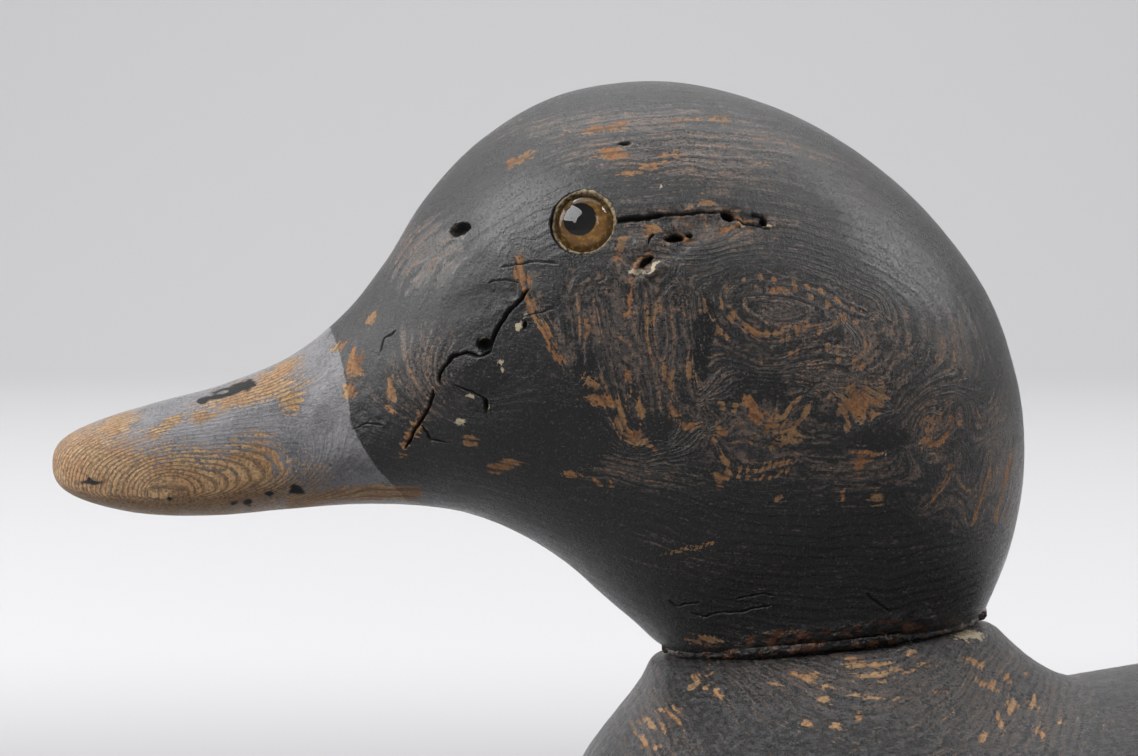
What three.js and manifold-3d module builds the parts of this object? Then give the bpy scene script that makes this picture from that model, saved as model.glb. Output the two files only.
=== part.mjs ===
// A carved wooden bluebill decoy, as a bust: the head with its glass eyes on the fore part of the body,
// cut flat below and square behind. Millimetres, +Z up, the bill points along -X, and the decoy's left
// side faces -Y. The origin is the centre of the underside of the bounding box.
import * as THREE from "three";
import { LoftGeometry } from "three/addons/geometries/LoftGeometry.js";
import { mergeVertices } from "three/addons/utils/BufferGeometryUtils.js";
import Module from "manifold-3d";

// Driving dimensions of the head. A station is one cross-section, from the bill's tip over the crown and
// down to the neck. Seen from the side, it runs from a point on the underside of the bill, chin or
// throat to a point on the bill's top, the crown or the nape. half is its half width, and widest is how
// far up from the lower point its widest place lies.
const HEAD_STATIONS = [
  { lower: [-84.2, 55.2], upper: [-84.2, 55.2], half: 0.0, widest: 0.3 }, // tip of the bill
  { lower: [-82.7, 51.6], upper: [-82.7, 58.7], half: 6.9, widest: 0.28 },
  { lower: [-77.8, 49.2], upper: [-77.3, 61.5], half: 11.6, widest: 0.24 },
  { lower: [-69.5, 47.5], upper: [-68.3, 64.3], half: 13.9, widest: 0.23 }, // broadest part of the bill
  { lower: [-59.8, 47.2], upper: [-58.3, 67.2], half: 13.8, widest: 0.25 },
  { lower: [-50.0, 48.0], upper: [-48.5, 71.2], half: 13.1, widest: 0.3 },
  { lower: [-41.0, 48.7], upper: [-40.3, 77.7], half: 14.0, widest: 0.36 }, // root of the bill
  { lower: [-34.3, 48.8], upper: [-34.3, 85.2], half: 17.2, widest: 0.42 },
  { lower: [-28.3, 48.5], upper: [-28.3, 94.7], half: 21.2, widest: 0.46 }, // face
  { lower: [-22.7, 47.7], upper: [-19.3, 104.0], half: 25.4, widest: 0.5 }, // forehead
  { lower: [-17.0, 45.8], upper: [-6.5, 110.8], half: 28.4, widest: 0.53 }, // eyes
  { lower: [-11.5, 43.0], upper: [10.0, 112.1], half: 30.4, widest: 0.55 }, // crown
  { lower: [-6.5, 39.6], upper: [28.0, 106.8], half: 31.3, widest: 0.56 }, // cheeks
  { lower: [-2.5, 36.0], upper: [43.7, 96.0], half: 31.0, widest: 0.56 },
  { lower: [0.7, 33.2], upper: [55.0, 82.2], half: 29.6, widest: 0.55 }, // back of the head
  { lower: [3.4, 30.9], upper: [60.2, 68.7], half: 27.6, widest: 0.54 },
  { lower: [5.3, 29.1], upper: [61.6, 56.2], half: 25.2, widest: 0.53 }, // nape
  { lower: [6.5, 28.1], upper: [59.8, 43.5], half: 23.0, widest: 0.52 },
  { lower: [8.2, 26.5], upper: [55.2, 31.4], half: 21.0, widest: 0.5 }, // foot of the neck
];
const BILL_FULLNESS = 2.5; // the power of a section's curve: 2 is an ellipse, and more is squarer
const HEAD_FULLNESS = 2.15;
const FULL_HEAD_AT = 8; // the first station with the head's fullness
const EVEN_STATIONS = 14; // up to here the steps are whole sections, and then they fan out to the bevel
const EVEN_STEPS = 44;
const NECK_STEPS = 9;
const HEAD_SIDES = 42;

// The foot of the neck is bevelled all round, and the filler lies in that bevel.
const BEVEL_HEIGHT = 2.0;
const BEVEL_DEPTH = 2.6;
const FIT_GAP = 0.3; // between pieces that touch
const FILLER_RECESS = 0.3; // from the line of the neck in to the filler's face
const FILLER_BULGE = 0.2;
const FILLER_SIDES = 48;

// Driving dimensions of the eyes
const EYE_IN_WOOD = new THREE.Vector3(-4.7, 27.9, 91.8); // where the right eye's axis meets the wood
const EYE_FORWARD = THREE.MathUtils.degToRad(10); // how far the eyes turn from the side to the bill
const EYE_UPWARD = THREE.MathUtils.degToRad(15);
const EYE_RADIUS = 4.2;
const EYE_PROUD = 1.1; // how far the dome stands out of the wood at its middle
const EYE_DOME = 2.3; // the height of the glass dome above its rim
const EYE_RIM = 1.2; // the depth of the straight rim under the dome
const EYE_BACK = 1.6; // the depth of the tapered back under the rim
const EYE_BACK_RADIUS = 3.0;
const EYE_DEPTH = EYE_DOME + EYE_RIM + EYE_BACK;
const EYE_SIDES = 28;
const DOME_STEPS = 6;
const SOCKET_RADIUS = 4.6;
const SOCKET_CUT = 6.0; // how far the cut for the socket runs on out of the wood

// Driving dimensions of the body
const SEAT_CENTRE = 31.2;
const SEAT_HALF_LENGTH = 25.7;
const SEAT_HALF_WIDTH = 22.8;
const FLARE_REACH = 15.0; // how far out from the seat the wood still rises towards it
const FRONT_FLARE = 0.1; // the share of that reach straight ahead of the seat
const FLARE_POWER = 1.6;
const WATERLINE = -20.0; // the height of the whole body's widest line, under the cut
const BREAST_X = -25.0; // where the whole body starts at that height
const BEAM_X = 95.0; // where the whole body is widest
const BEAM_HALF_WIDTH = 76.0;
const PLAN_FULLNESS = 2.2;
const BACK_X = 84.2; // the sawn back
// The ridge of the body from the breast, under the seat, to the back: x and z.
const RIDGE = [
  [-19.5, -17.0],
  [-11.4, -1.8],
  [-4.4, 10.9],
  [2.0, 19.4],
  [8.0, 26.0],
  [30.0, 24.6],
  [48.0, 22.8],
  [60.0, 20.9],
  [72.0, 22.7],
  [84.0, 24.9],
  [96.0, 29.0],
];
const BODY_RINGS = 13;
const BODY_SIDES = 72;
const RING_CROWDING = 1.4; // over 1 sets the rings closer together near the seat
const MOST_STRETCH = 6; // times the size of the seat, well past the sawn faces
const TRIM = 6.0; // how far the uncut body runs on past each sawn face
const BLOCK_HEIGHT = 100.0; // of what is kept of it, well above the seat

const HALVINGS = 30; // enough for a place to be found far finer than it is built
const WELD = 1e-4; // corners closer than this are one

// One piece of a smooth curve through four values, from the second at f = 0 to the third at f = 1.
function smoothBetween(a, b, c, d, f) {
  const slope = (c - a) / 2;
  const curve = (2 * a - 5 * b + 4 * c - d) / 2;
  const turn = (3 * (b - c) + d - a) / 2;
  return b + f * (slope + f * (curve + f * turn));
}

// A signed power, which keeps the sign of its base.
function signedPower(base, power) {
  return Math.sign(base) * Math.abs(base) ** power;
}

// The place in a range where a falling test turns from true to false, by halving.
function lastTrue(low, high, test) {
  let from = low;
  let to = high;
  for (let k = 0; k < HALVINGS; k++) {
    const middle = (from + to) / 2;
    if (test(middle)) from = middle;
    else to = middle;
  }
  return from;
}

// Evenly spaced shares of a full turn, each made into a point.
function ringOf(sides, place) {
  return Array.from({ length: sides }, (_, k) => place(k / sides));
}

const stationRows = HEAD_STATIONS.map((station) => {
  return [...station.lower, ...station.upper, station.half, station.widest];
});
const lastStation = stationRows.length - 1;

// The station before the tip is the one after it, with its top and underside exchanged, so that the
// underside runs on round the tip into the top.
function stationRow(index) {
  if (index < 0) {
    const [lowerX, lowerZ, upperX, upperZ, half, widest] = stationRows[1];
    return [upperX, upperZ, lowerX, lowerZ, -half, widest];
  }
  if (index > lastStation) {
    return stationRows[lastStation].map((value, k) => 2 * value - stationRows[lastStation - 1][k]);
  }
  return stationRows[index];
}

// A point of the head's surface. at runs over the stations, and share of a turn from 0 at the lower point
// round the right side to 0.5 at the upper point, and back round the left side.
function headPoint(at, share) {
  const index = Math.min(Math.floor(at), lastStation - 1);
  const rows = [index - 1, index, index + 1, index + 2].map(stationRow);
  const [lowerX, lowerZ, upperX, upperZ, half, widest] = rows[0].map((_, k) =>
    smoothBetween(rows[0][k], rows[1][k], rows[2][k], rows[3][k], at - index),
  );
  const headShare = THREE.MathUtils.smoothstep(at, 0, FULL_HEAD_AT);
  const fullness = THREE.MathUtils.lerp(BILL_FULLNESS, HEAD_FULLNESS, headShare);
  const angle = share * 2 * Math.PI;
  const rise = -signedPower(Math.cos(angle), 2 / fullness);
  const side = signedPower(Math.sin(angle), 2 / fullness);
  const up = widest + (rise < 0 ? widest : 1 - widest) * rise;
  return new THREE.Vector3(lowerX + (upperX - lowerX) * up, half * side, lowerZ + (upperZ - lowerZ) * up);
}

// The plane of the neck's foot, through the two points of the last station.
const [footLowerX, footLowerZ, footUpperX, footUpperZ] = stationRows[lastStation];
const FOOT_CENTRE = new THREE.Vector3((footLowerX + footUpperX) / 2, 0, (footLowerZ + footUpperZ) / 2);
const FOOT_UP = new THREE.Vector3(footLowerZ - footUpperZ, 0, footUpperX - footLowerX).normalize();

function heightOverFoot(point) {
  return point.clone().sub(FOOT_CENTRE).dot(FOOT_UP);
}

// How far along the stations a line of points reaches the bevel.
function bevelStart(share) {
  return lastTrue(EVEN_STATIONS, lastStation, (at) => heightOverFoot(headPoint(at, share)) > BEVEL_HEIGHT);
}

// A point beside the bevel: at a depth inside the line of the neck, and a height over its foot.
function bevelPoint(share, depth, height) {
  const edge = headPoint(bevelStart(share), share).addScaledVector(FOOT_UP, height - BEVEL_HEIGHT);
  const middle = FOOT_CENTRE.clone().addScaledVector(FOOT_UP, height);
  return edge.add(middle.sub(edge).setLength(depth));
}

// The head's lines of points, from the tip to the bevel and in to the flat of the foot.
function headSections() {
  const sections = [];
  for (let k = 0; k <= EVEN_STEPS; k++) {
    const at = (EVEN_STATIONS * k) / EVEN_STEPS;
    sections.push(ringOf(HEAD_SIDES, (share) => headPoint(at, share)));
  }
  for (let k = 1; k <= NECK_STEPS; k++) {
    const part = k / NECK_STEPS;
    sections.push(
      ringOf(HEAD_SIDES, (share) => {
        return headPoint(THREE.MathUtils.lerp(EVEN_STATIONS, bevelStart(share), part), share);
      }),
    );
  }
  sections.push(ringOf(HEAD_SIDES, (share) => bevelPoint(share, BEVEL_DEPTH, 0)));
  return sections;
}

// A closed mesh becomes a solid once its shared corners are one and its empty triangles are gone.
const solids = await Module();
solids.setup();

function solidOf(geometry) {
  const bare = new THREE.BufferGeometry().copy(geometry);
  bare.deleteAttribute("normal");
  bare.deleteAttribute("uv");
  const merged = mergeVertices(bare, WELD);
  const corners = merged.index.array;
  const triangles = [];
  for (let k = 0; k < corners.length; k += 3) {
    const [a, b, c] = [corners[k], corners[k + 1], corners[k + 2]];
    if (a !== b && b !== c && c !== a) triangles.push(a, b, c);
  }
  const vertProperties = new Float32Array(merged.attributes.position.array);
  const triVerts = new Uint32Array(triangles);
  return new solids.Manifold(new solids.Mesh({ numProp: 3, vertProperties, triVerts }));
}

function geometryOf(solid) {
  const { vertProperties, triVerts } = solid.getMesh();
  const geometry = new THREE.BufferGeometry();
  geometry.setAttribute("position", new THREE.BufferAttribute(vertProperties, 3));
  geometry.setIndex(new THREE.BufferAttribute(triVerts, 1));
  geometry.computeVertexNormals();
  return geometry;
}

// An eye's own frame stands on its axis: +Y looks out of the wood, and zero is the top of the dome.
function eyeFrame(side) {
  const axis = new THREE.Vector3(
    -Math.sin(EYE_FORWARD) * Math.cos(EYE_UPWARD),
    side * Math.cos(EYE_FORWARD) * Math.cos(EYE_UPWARD),
    Math.sin(EYE_UPWARD),
  );
  const inWood = new THREE.Vector3(EYE_IN_WOOD.x, side * EYE_IN_WOOD.y, EYE_IN_WOOD.z);
  const domeTop = inWood.addScaledVector(axis, EYE_PROUD);
  const turn = new THREE.Quaternion().setFromUnitVectors(new THREE.Vector3(0, 1, 0), axis);
  return new THREE.Matrix4().compose(domeTop, turn, new THREE.Vector3(1, 1, 1));
}

// The glass eye: a flat tapered back, a short straight rim and a dome.
function eyeGeometry() {
  const ballRadius = (EYE_RADIUS ** 2 + EYE_DOME ** 2) / (2 * EYE_DOME);
  const domeAngle = Math.asin(EYE_RADIUS / ballRadius);
  const profile = [
    new THREE.Vector2(0, -EYE_DEPTH),
    new THREE.Vector2(EYE_BACK_RADIUS, -EYE_DEPTH),
    new THREE.Vector2(EYE_RADIUS, -EYE_DOME - EYE_RIM),
  ];
  for (let k = 0; k < DOME_STEPS; k++) {
    const angle = domeAngle * (1 - k / DOME_STEPS);
    profile.push(new THREE.Vector2(ballRadius * Math.sin(angle), ballRadius * (Math.cos(angle) - 1)));
  }
  profile.push(new THREE.Vector2(0, 0));
  return new THREE.LatheGeometry(profile, EYE_SIDES);
}

function socketGeometry() {
  const floor = -EYE_DEPTH - FIT_GAP;
  const profile = [
    new THREE.Vector2(0, floor),
    new THREE.Vector2(SOCKET_RADIUS, floor),
    new THREE.Vector2(SOCKET_RADIUS, SOCKET_CUT),
    new THREE.Vector2(0, SOCKET_CUT),
  ];
  return new THREE.LatheGeometry(profile, EYE_SIDES);
}

function ridgeHeight(x) {
  const index = THREE.MathUtils.clamp(RIDGE.findIndex(([knot]) => knot > x) - 1, 0, RIDGE.length - 2);
  const before = RIDGE[Math.max(index - 1, 0)];
  const after = RIDGE[Math.min(index + 2, RIDGE.length - 1)];
  const [[x0, z0], [x1, z1]] = RIDGE.slice(index, index + 2);
  const startSlope = (z1 - before[1]) / (x1 - before[0]);
  const endSlope = (after[1] - z0) / (after[0] - x0);
  const span = x1 - x0;
  const f = (x - x0) / span;
  const bend = 3 * (z1 - z0) - (2 * startSlope + endSlope) * span;
  const ease = 2 * (z0 - z1) + (startSlope + endSlope) * span;
  return z0 + f * (startSlope * span + f * (bend + f * ease));
}

// The half width of the whole body at its widest line.
function planHalfWidth(x) {
  const ahead = Math.max((BEAM_X - x) / (BEAM_X - BREAST_X), 0);
  return BEAM_HALF_WIDTH * Math.max(1 - ahead ** PLAN_FULLNESS, 0) ** (1 / PLAN_FULLNESS);
}

// The seat lies one gap under the neck's foot, in a plane parallel to it.
const SEAT_SLOPE = (footUpperZ - footLowerZ) / (footUpperX - footLowerX);

function seatHeight(x) {
  return footLowerZ - FIT_GAP / FOOT_UP.z + SEAT_SLOPE * (x - footLowerX);
}

// The height of the body's top at a point outside the seat. Its flare falls from 1 at the seat's edge to 0.
function bodyHeight(x, y, flare) {
  const across = Math.min(Math.abs(y) / Math.max(planHalfWidth(x), 1), 1);
  const hull = WATERLINE + (ridgeHeight(x) - WATERLINE) * Math.sqrt(1 - across ** 2);
  return THREE.MathUtils.lerp(hull, seatHeight(x), flare);
}

// A point of the body's top, at stretch times the size of the seat.
function bodyPoint(share, stretch) {
  const angle = share * 2 * Math.PI;
  const offsetX = SEAT_HALF_LENGTH * Math.cos(angle);
  const offsetY = SEAT_HALF_WIDTH * Math.sin(angle);
  const x = SEAT_CENTRE + stretch * offsetX;
  const y = stretch * offsetY;
  const distance = (stretch - 1) * Math.hypot(offsetX, offsetY);
  const ahead = Math.max(-Math.cos(angle), 0) ** 2;
  const reach = FLARE_REACH * THREE.MathUtils.lerp(1, FRONT_FLARE, ahead);
  const flare = Math.max(1 - distance / reach, 0) ** FLARE_POWER;
  return new THREE.Vector3(x, y, bodyHeight(x, y, flare));
}

// The body before it is cut: rings from the seat's edge out to just past the sawn faces.
function bodySections() {
  const sections = [];
  for (let k = 0; k <= BODY_RINGS; k++) {
    const out = (k / BODY_RINGS) ** RING_CROWDING;
    sections.push(
      ringOf(BODY_SIDES, (share) => {
        const end = lastTrue(1, MOST_STRETCH, (stretch) => {
          const { x, z } = bodyPoint(share, stretch);
          return x < BACK_X + TRIM && z > -TRIM;
        });
        return bodyPoint(share, THREE.MathUtils.lerp(1, end, out));
      }),
    );
  }
  const skirt = sections[BODY_RINGS].map(({ x, y }) => new THREE.Vector3(x, y, -2 * TRIM));
  return [skirt, ...sections.reverse()];
}

// The block that the body is cut to: everything above the underside and before the sawn back.
function keptBlock() {
  const length = 2 * (BACK_X - BREAST_X);
  const width = 4 * BEAM_HALF_WIDTH;
  const block = new THREE.BoxGeometry(length, width, BLOCK_HEIGHT);
  return block.translate(BACK_X - length / 2, 0, BLOCK_HEIGHT / 2);
}

// The filler is a bead in the corner between the bevel and the seat, with its face out towards the
// line of the neck. The last section repeats the first, which closes the ring.
function fillerSections() {
  const bevelRun = BEVEL_DEPTH / BEVEL_HEIGHT;
  const clearance = FIT_GAP * Math.hypot(bevelRun, 1);
  const inner = BEVEL_DEPTH - clearance;
  const top = (inner - FILLER_RECESS) / bevelRun;
  return Array.from({ length: FILLER_SIDES + 1 }, (_, k) => {
    const share = (k % FILLER_SIDES) / FILLER_SIDES;
    return [
      bevelPoint(share, FILLER_RECESS, 0),
      bevelPoint(share, FILLER_RECESS - FILLER_BULGE, top / 2),
      bevelPoint(share, FILLER_RECESS, top),
      bevelPoint(share, inner, 0),
    ];
  });
}

const paintedHead = new THREE.MeshStandardMaterial({ color: 0x2b2829, roughness: 0.5, metalness: 0 });
const paintedBody = new THREE.MeshStandardMaterial({ color: 0x3a3634, roughness: 0.55, metalness: 0 });
const glass = new THREE.MeshStandardMaterial({ color: 0x9a6a22, roughness: 0.05, metalness: 0 });
const pitch = new THREE.MeshStandardMaterial({ color: 0x150e0a, roughness: 0.15, metalness: 0 });

function named(name, geometry, material) {
  const mesh = new THREE.Mesh(geometry, material);
  mesh.name = name;
  return mesh;
}

function buildHead() {
  const uncut = new LoftGeometry(headSections(), { closed: true, capStart: false, capEnd: true });
  const sockets = [-1, 1].map((side) => solidOf(socketGeometry().applyMatrix4(eyeFrame(side))));
  const bored = sockets.reduce((wood, socket) => wood.subtract(socket), solidOf(uncut));
  return named("head", geometryOf(bored), paintedHead);
}

function buildEye(name, side) {
  const eye = named(name, eyeGeometry(), glass);
  eye.applyMatrix4(eyeFrame(side));
  return eye;
}

function buildFiller() {
  return named("neck_filler", new LoftGeometry(fillerSections(), { closed: true }), pitch);
}

function buildBody() {
  const uncut = new LoftGeometry(bodySections(), { closed: true, capStart: true, capEnd: true });
  return named("body", geometryOf(solidOf(uncut).intersect(solidOf(keptBlock()))), paintedBody);
}

const decoy = new THREE.Group();
decoy.add(buildHead(), buildBody(), buildEye("eye_left", -1), buildEye("eye_right", 1), buildFiller());

export default decoy;
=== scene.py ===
"""A carved wooden bluebill decoy, as a bust: black and grey paint worn down to the wood, with glass eyes.

The head, the body and the neck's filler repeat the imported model's own shapes, in its millimetres, as
fine meshes with their relief. The places of marks are written in pixels of the photograph and are
carried to the wood through the camera that the scene renders with.
"""
import math

import bmesh
import bpy
import numpy as np
from mathutils import Matrix, Vector


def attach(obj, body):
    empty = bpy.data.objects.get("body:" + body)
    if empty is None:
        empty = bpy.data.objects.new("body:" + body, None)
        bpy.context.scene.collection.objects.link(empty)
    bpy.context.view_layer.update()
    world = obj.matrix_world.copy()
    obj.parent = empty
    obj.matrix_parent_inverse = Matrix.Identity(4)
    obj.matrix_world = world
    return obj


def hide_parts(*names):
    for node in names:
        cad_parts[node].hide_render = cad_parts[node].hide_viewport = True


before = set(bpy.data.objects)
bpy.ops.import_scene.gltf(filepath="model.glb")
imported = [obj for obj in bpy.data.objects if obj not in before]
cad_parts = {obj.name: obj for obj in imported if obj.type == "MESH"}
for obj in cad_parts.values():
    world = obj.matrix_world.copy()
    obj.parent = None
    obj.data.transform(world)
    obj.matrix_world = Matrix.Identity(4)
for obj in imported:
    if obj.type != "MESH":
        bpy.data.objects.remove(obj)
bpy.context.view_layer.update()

MM = 0.001  # the shapes below are in millimetres, and the scene is in metres

# The photograph and its camera
PHOTO_WIDTH = 1138
PHOTO_HEIGHT = 756
PIXEL = 0.15  # millimetres across one pixel, at the decoy's middle plane
ORIGIN_COLUMN = 613.5  # the pixel column and row of the model's origin
ORIGIN_ROW = 830.0
CAMERA_DISTANCE = 700.0
CAMERA_ELEVATION = math.radians(3.0)
SENSOR_WIDTH = 36.0

# The head's stations, as the model has them: the lower point's x and z, the upper point's x and z, the
# half width, and how far up the widest place lies.
HEAD_STATIONS = [
    (-84.2, 55.2, -84.2, 55.2, 0.0, 0.3),
    (-82.7, 51.6, -82.7, 58.7, 6.9, 0.28),
    (-77.8, 49.2, -77.3, 61.5, 11.6, 0.24),
    (-69.5, 47.5, -68.3, 64.3, 13.9, 0.23),
    (-59.8, 47.2, -58.3, 67.2, 13.8, 0.25),
    (-50.0, 48.0, -48.5, 71.2, 13.1, 0.3),
    (-41.0, 48.7, -40.3, 77.7, 14.0, 0.36),
    (-34.3, 48.8, -34.3, 85.2, 17.2, 0.42),
    (-28.3, 48.5, -28.3, 94.7, 21.2, 0.46),
    (-22.7, 47.7, -19.3, 104.0, 25.4, 0.5),
    (-17.0, 45.8, -6.5, 110.8, 28.4, 0.53),
    (-11.5, 43.0, 10.0, 112.1, 30.4, 0.55),
    (-6.5, 39.6, 28.0, 106.8, 31.3, 0.56),
    (-2.5, 36.0, 43.7, 96.0, 31.0, 0.56),
    (0.7, 33.2, 55.0, 82.2, 29.6, 0.55),
    (3.4, 30.9, 60.2, 68.7, 27.6, 0.54),
    (5.3, 29.1, 61.6, 56.2, 25.2, 0.53),
    (6.5, 28.1, 59.8, 43.5, 23.0, 0.52),
    (8.2, 26.5, 55.2, 31.4, 21.0, 0.5),
]
BILL_FULLNESS = 2.5
HEAD_FULLNESS = 2.15
FULL_HEAD_AT = 8
EVEN_STATIONS = 14
LAST_STATION = len(HEAD_STATIONS) - 1
BEVEL_HEIGHT = 2.0
BEVEL_DEPTH = 2.6
FIT_GAP = 0.3
FILLER_RECESS = 0.06
FILLER_UNDERCUT = 0.5
RESIN_STARTS = (690, 760)  # the pixel columns over which the resin rises to its full thickness
RESIN_ENDS = (890, 920)

# The eyes, as the model has them
EYE_IN_WOOD = (-4.7, 27.9, 91.8)
EYE_FORWARD = math.radians(10)
EYE_UPWARD = math.radians(15)
EYE_RADIUS = 4.2
EYE_PROUD = 1.1
EYE_DOME = 2.3
EYE_RIM = 1.2
EYE_BACK = 1.6
EYE_BACK_RADIUS = 3.0
SOCKET_RADIUS = 4.6
PUTTY_THICK_AT = math.radians(135)  # round the eye from the bill's side, over its top
PUPIL_FORWARD = 0.55
PUPIL_UP = 0.55

# The body, as the model has it
SEAT_CENTRE = 31.2
SEAT_HALF_LENGTH = 25.7
SEAT_HALF_WIDTH = 22.8
FLARE_REACH = 15.0
FRONT_FLARE = 0.1
FLARE_POWER = 1.6
WATERLINE = -20.0
BREAST_X = -25.0
BEAM_X = 95.0
BEAM_HALF_WIDTH = 76.0
PLAN_FULLNESS = 2.2
BACK_X = 84.2
RIDGE = [
    (-19.5, -17.0),
    (-11.4, -1.8),
    (-4.4, 10.9),
    (2.0, 19.4),
    (8.0, 26.0),
    (30.0, 24.6),
    (48.0, 22.8),
    (60.0, 20.9),
    (72.0, 22.7),
    (84.0, 24.9),
    (96.0, 29.0),
]
MOST_STRETCH = 6.0
TRIM = 6.0
HALVINGS = 26

# Fineness of the meshes
HEAD_ROWS = 300
LEFT_COLUMNS = 140
RIGHT_COLUMNS = 60
REFINED_MARGIN = 5  # pixels round a crack or a hole
BODY_ROWS = 120
BODY_LEFT_COLUMNS = 330
BODY_RIGHT_COLUMNS = 150


# Numbers and noise


def smoothstep(value, low, high):
    share = np.clip((value - low) / (high - low), 0.0, 1.0)
    return share * share * (3 - 2 * share)


def signed_power(base, power):
    return np.sign(base) * np.abs(base) ** power


def last_true(low, high, test):
    """The place between low and high, for each entry of an array, where a test turns from true to false."""
    for _ in range(HALVINGS):
        middle = (low + high) / 2
        true = test(middle)
        low = np.where(true, middle, low)
        high = np.where(true, high, middle)
    return low


LATTICE = 64


def lattice_noise(points, size, seed):
    """Smooth noise from -1 to 1 through space, with features about size across."""
    table = np.random.default_rng(seed).uniform(-1, 1, (LATTICE, LATTICE, LATTICE))
    scaled = np.asarray(points) / size + 500.0
    cell = np.floor(scaled).astype(int)
    part = scaled - cell
    part = part * part * (3 - 2 * part)
    total = np.zeros(len(scaled))
    for corner in np.ndindex(2, 2, 2):
        offset = np.array(corner)
        weight = np.prod(np.where(offset == 1, part, 1 - part), axis=1)
        i, j, k = ((cell + offset) % LATTICE).T
        total += weight * table[i, j, k]
    return total


def layered_noise(points, size, seed, layers=3):
    """Noise with finer noise on it, each layer half the size and half the height of the one before."""
    total = np.zeros(len(points))
    for k in range(layers):
        total += lattice_noise(points, size / 2**k, seed + k) / 2**k
    return total


# The head's surface


def extended_stations():
    """The stations with one more before the tip, where top and underside exchange, and one after the foot."""
    rows = np.array(HEAD_STATIONS)
    before = rows[1][[2, 3, 0, 1, 4, 5]] * np.array([1, 1, 1, 1, -1, 1])
    after = 2 * rows[-1] - rows[-2]
    return np.vstack([before, rows, after])


STATIONS = extended_stations()


def station_values(at):
    index = np.clip(np.floor(at).astype(int), 0, LAST_STATION - 1)
    f = (at - index)[:, None]
    a, b, c, d = (STATIONS[index + k] for k in range(4))
    return b + f * ((c - a) / 2 + f * ((2 * a - 5 * b + 4 * c - d) / 2 + f * (3 * (b - c) + d - a) / 2))


def head_points(at, share):
    """Points of the head: at runs over the stations, and share of a turn from the lower point round the
    right side to 0.5 at the upper point, and back round the left side."""
    lower_x, lower_z, upper_x, upper_z, half, widest = station_values(at).T
    head_share = smoothstep(at, 0, FULL_HEAD_AT)
    fullness = BILL_FULLNESS + (HEAD_FULLNESS - BILL_FULLNESS) * head_share
    angle = share * 2 * math.pi
    rise = -signed_power(np.cos(angle), 2 / fullness)
    side = signed_power(np.sin(angle), 2 / fullness)
    up = widest + np.where(rise < 0, widest, 1 - widest) * rise
    return np.stack(
        [lower_x + (upper_x - lower_x) * up, half * side, lower_z + (upper_z - lower_z) * up], axis=1
    )


FOOT = HEAD_STATIONS[-1]
FOOT_CENTRE = np.array([(FOOT[0] + FOOT[2]) / 2, 0, (FOOT[1] + FOOT[3]) / 2])
FOOT_UP = np.array([FOOT[1] - FOOT[3], 0, FOOT[2] - FOOT[0]])
FOOT_UP = FOOT_UP / np.linalg.norm(FOOT_UP)
SEAT_SLOPE = (FOOT[3] - FOOT[1]) / (FOOT[2] - FOOT[0])


def bevel_start(share):
    """How far along the stations a line of points reaches the bevel."""

    def above(at):
        return (head_points(at, share) - FOOT_CENTRE) @ FOOT_UP > BEVEL_HEIGHT

    low = np.full(len(share), float(EVEN_STATIONS))
    high = np.full(len(share), float(LAST_STATION))
    return last_true(low, high, above)


def bevel_points(share, depth, height):
    """Points beside the bevel, at a depth inside the line of the neck and a height over its foot."""
    edge = head_points(bevel_start(share), share) + FOOT_UP * (height - BEVEL_HEIGHT)[:, None]
    inward = FOOT_CENTRE + FOOT_UP * height[:, None] - edge
    return edge + inward / np.linalg.norm(inward, axis=1)[:, None] * depth[:, None]


# The body's surface


def ridge_height(x):
    knots = np.array(RIDGE)
    index = np.clip(np.searchsorted(knots[:, 0], x, side="right") - 1, 0, len(RIDGE) - 2)
    x0, z0 = knots[index].T
    x1, z1 = knots[index + 1].T
    before = knots[np.maximum(index - 1, 0)]
    after = knots[np.minimum(index + 2, len(RIDGE) - 1)]
    start = (z1 - before[:, 1]) / (x1 - before[:, 0])
    end = (after[:, 1] - z0) / (after[:, 0] - x0)
    span = x1 - x0
    f = (x - x0) / span
    bend = 3 * (z1 - z0) - (2 * start + end) * span
    ease = 2 * (z0 - z1) + (start + end) * span
    return z0 + f * (start * span + f * (bend + f * ease))


def plan_half_width(x):
    ahead = np.maximum((BEAM_X - x) / (BEAM_X - BREAST_X), 0)
    return BEAM_HALF_WIDTH * np.maximum(1 - ahead**PLAN_FULLNESS, 0) ** (1 / PLAN_FULLNESS)


def seat_height(x):
    return FOOT[1] - FIT_GAP / FOOT_UP[2] + SEAT_SLOPE * (x - FOOT[0])


def body_points(share, stretch):
    """Points of the body's top, at stretch times the size of the seat."""
    angle = share * 2 * math.pi
    offset_x = SEAT_HALF_LENGTH * np.cos(angle)
    offset_y = SEAT_HALF_WIDTH * np.sin(angle)
    x = SEAT_CENTRE + stretch * offset_x
    y = stretch * offset_y
    distance = (stretch - 1) * np.hypot(offset_x, offset_y)
    across = np.minimum(np.abs(y) / np.maximum(plan_half_width(x), 1), 1)
    hull = WATERLINE + (ridge_height(x) - WATERLINE) * np.sqrt(1 - across**2)
    ahead = np.maximum(-np.cos(angle), 0) ** 2
    reach = FLARE_REACH * (1 - (1 - FRONT_FLARE) * ahead)
    flare = np.clip(1 - distance / reach, 0, 1) ** FLARE_POWER
    return np.stack([x, y, hull + (seat_height(x) - hull) * flare], axis=1)


# The camera


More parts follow.
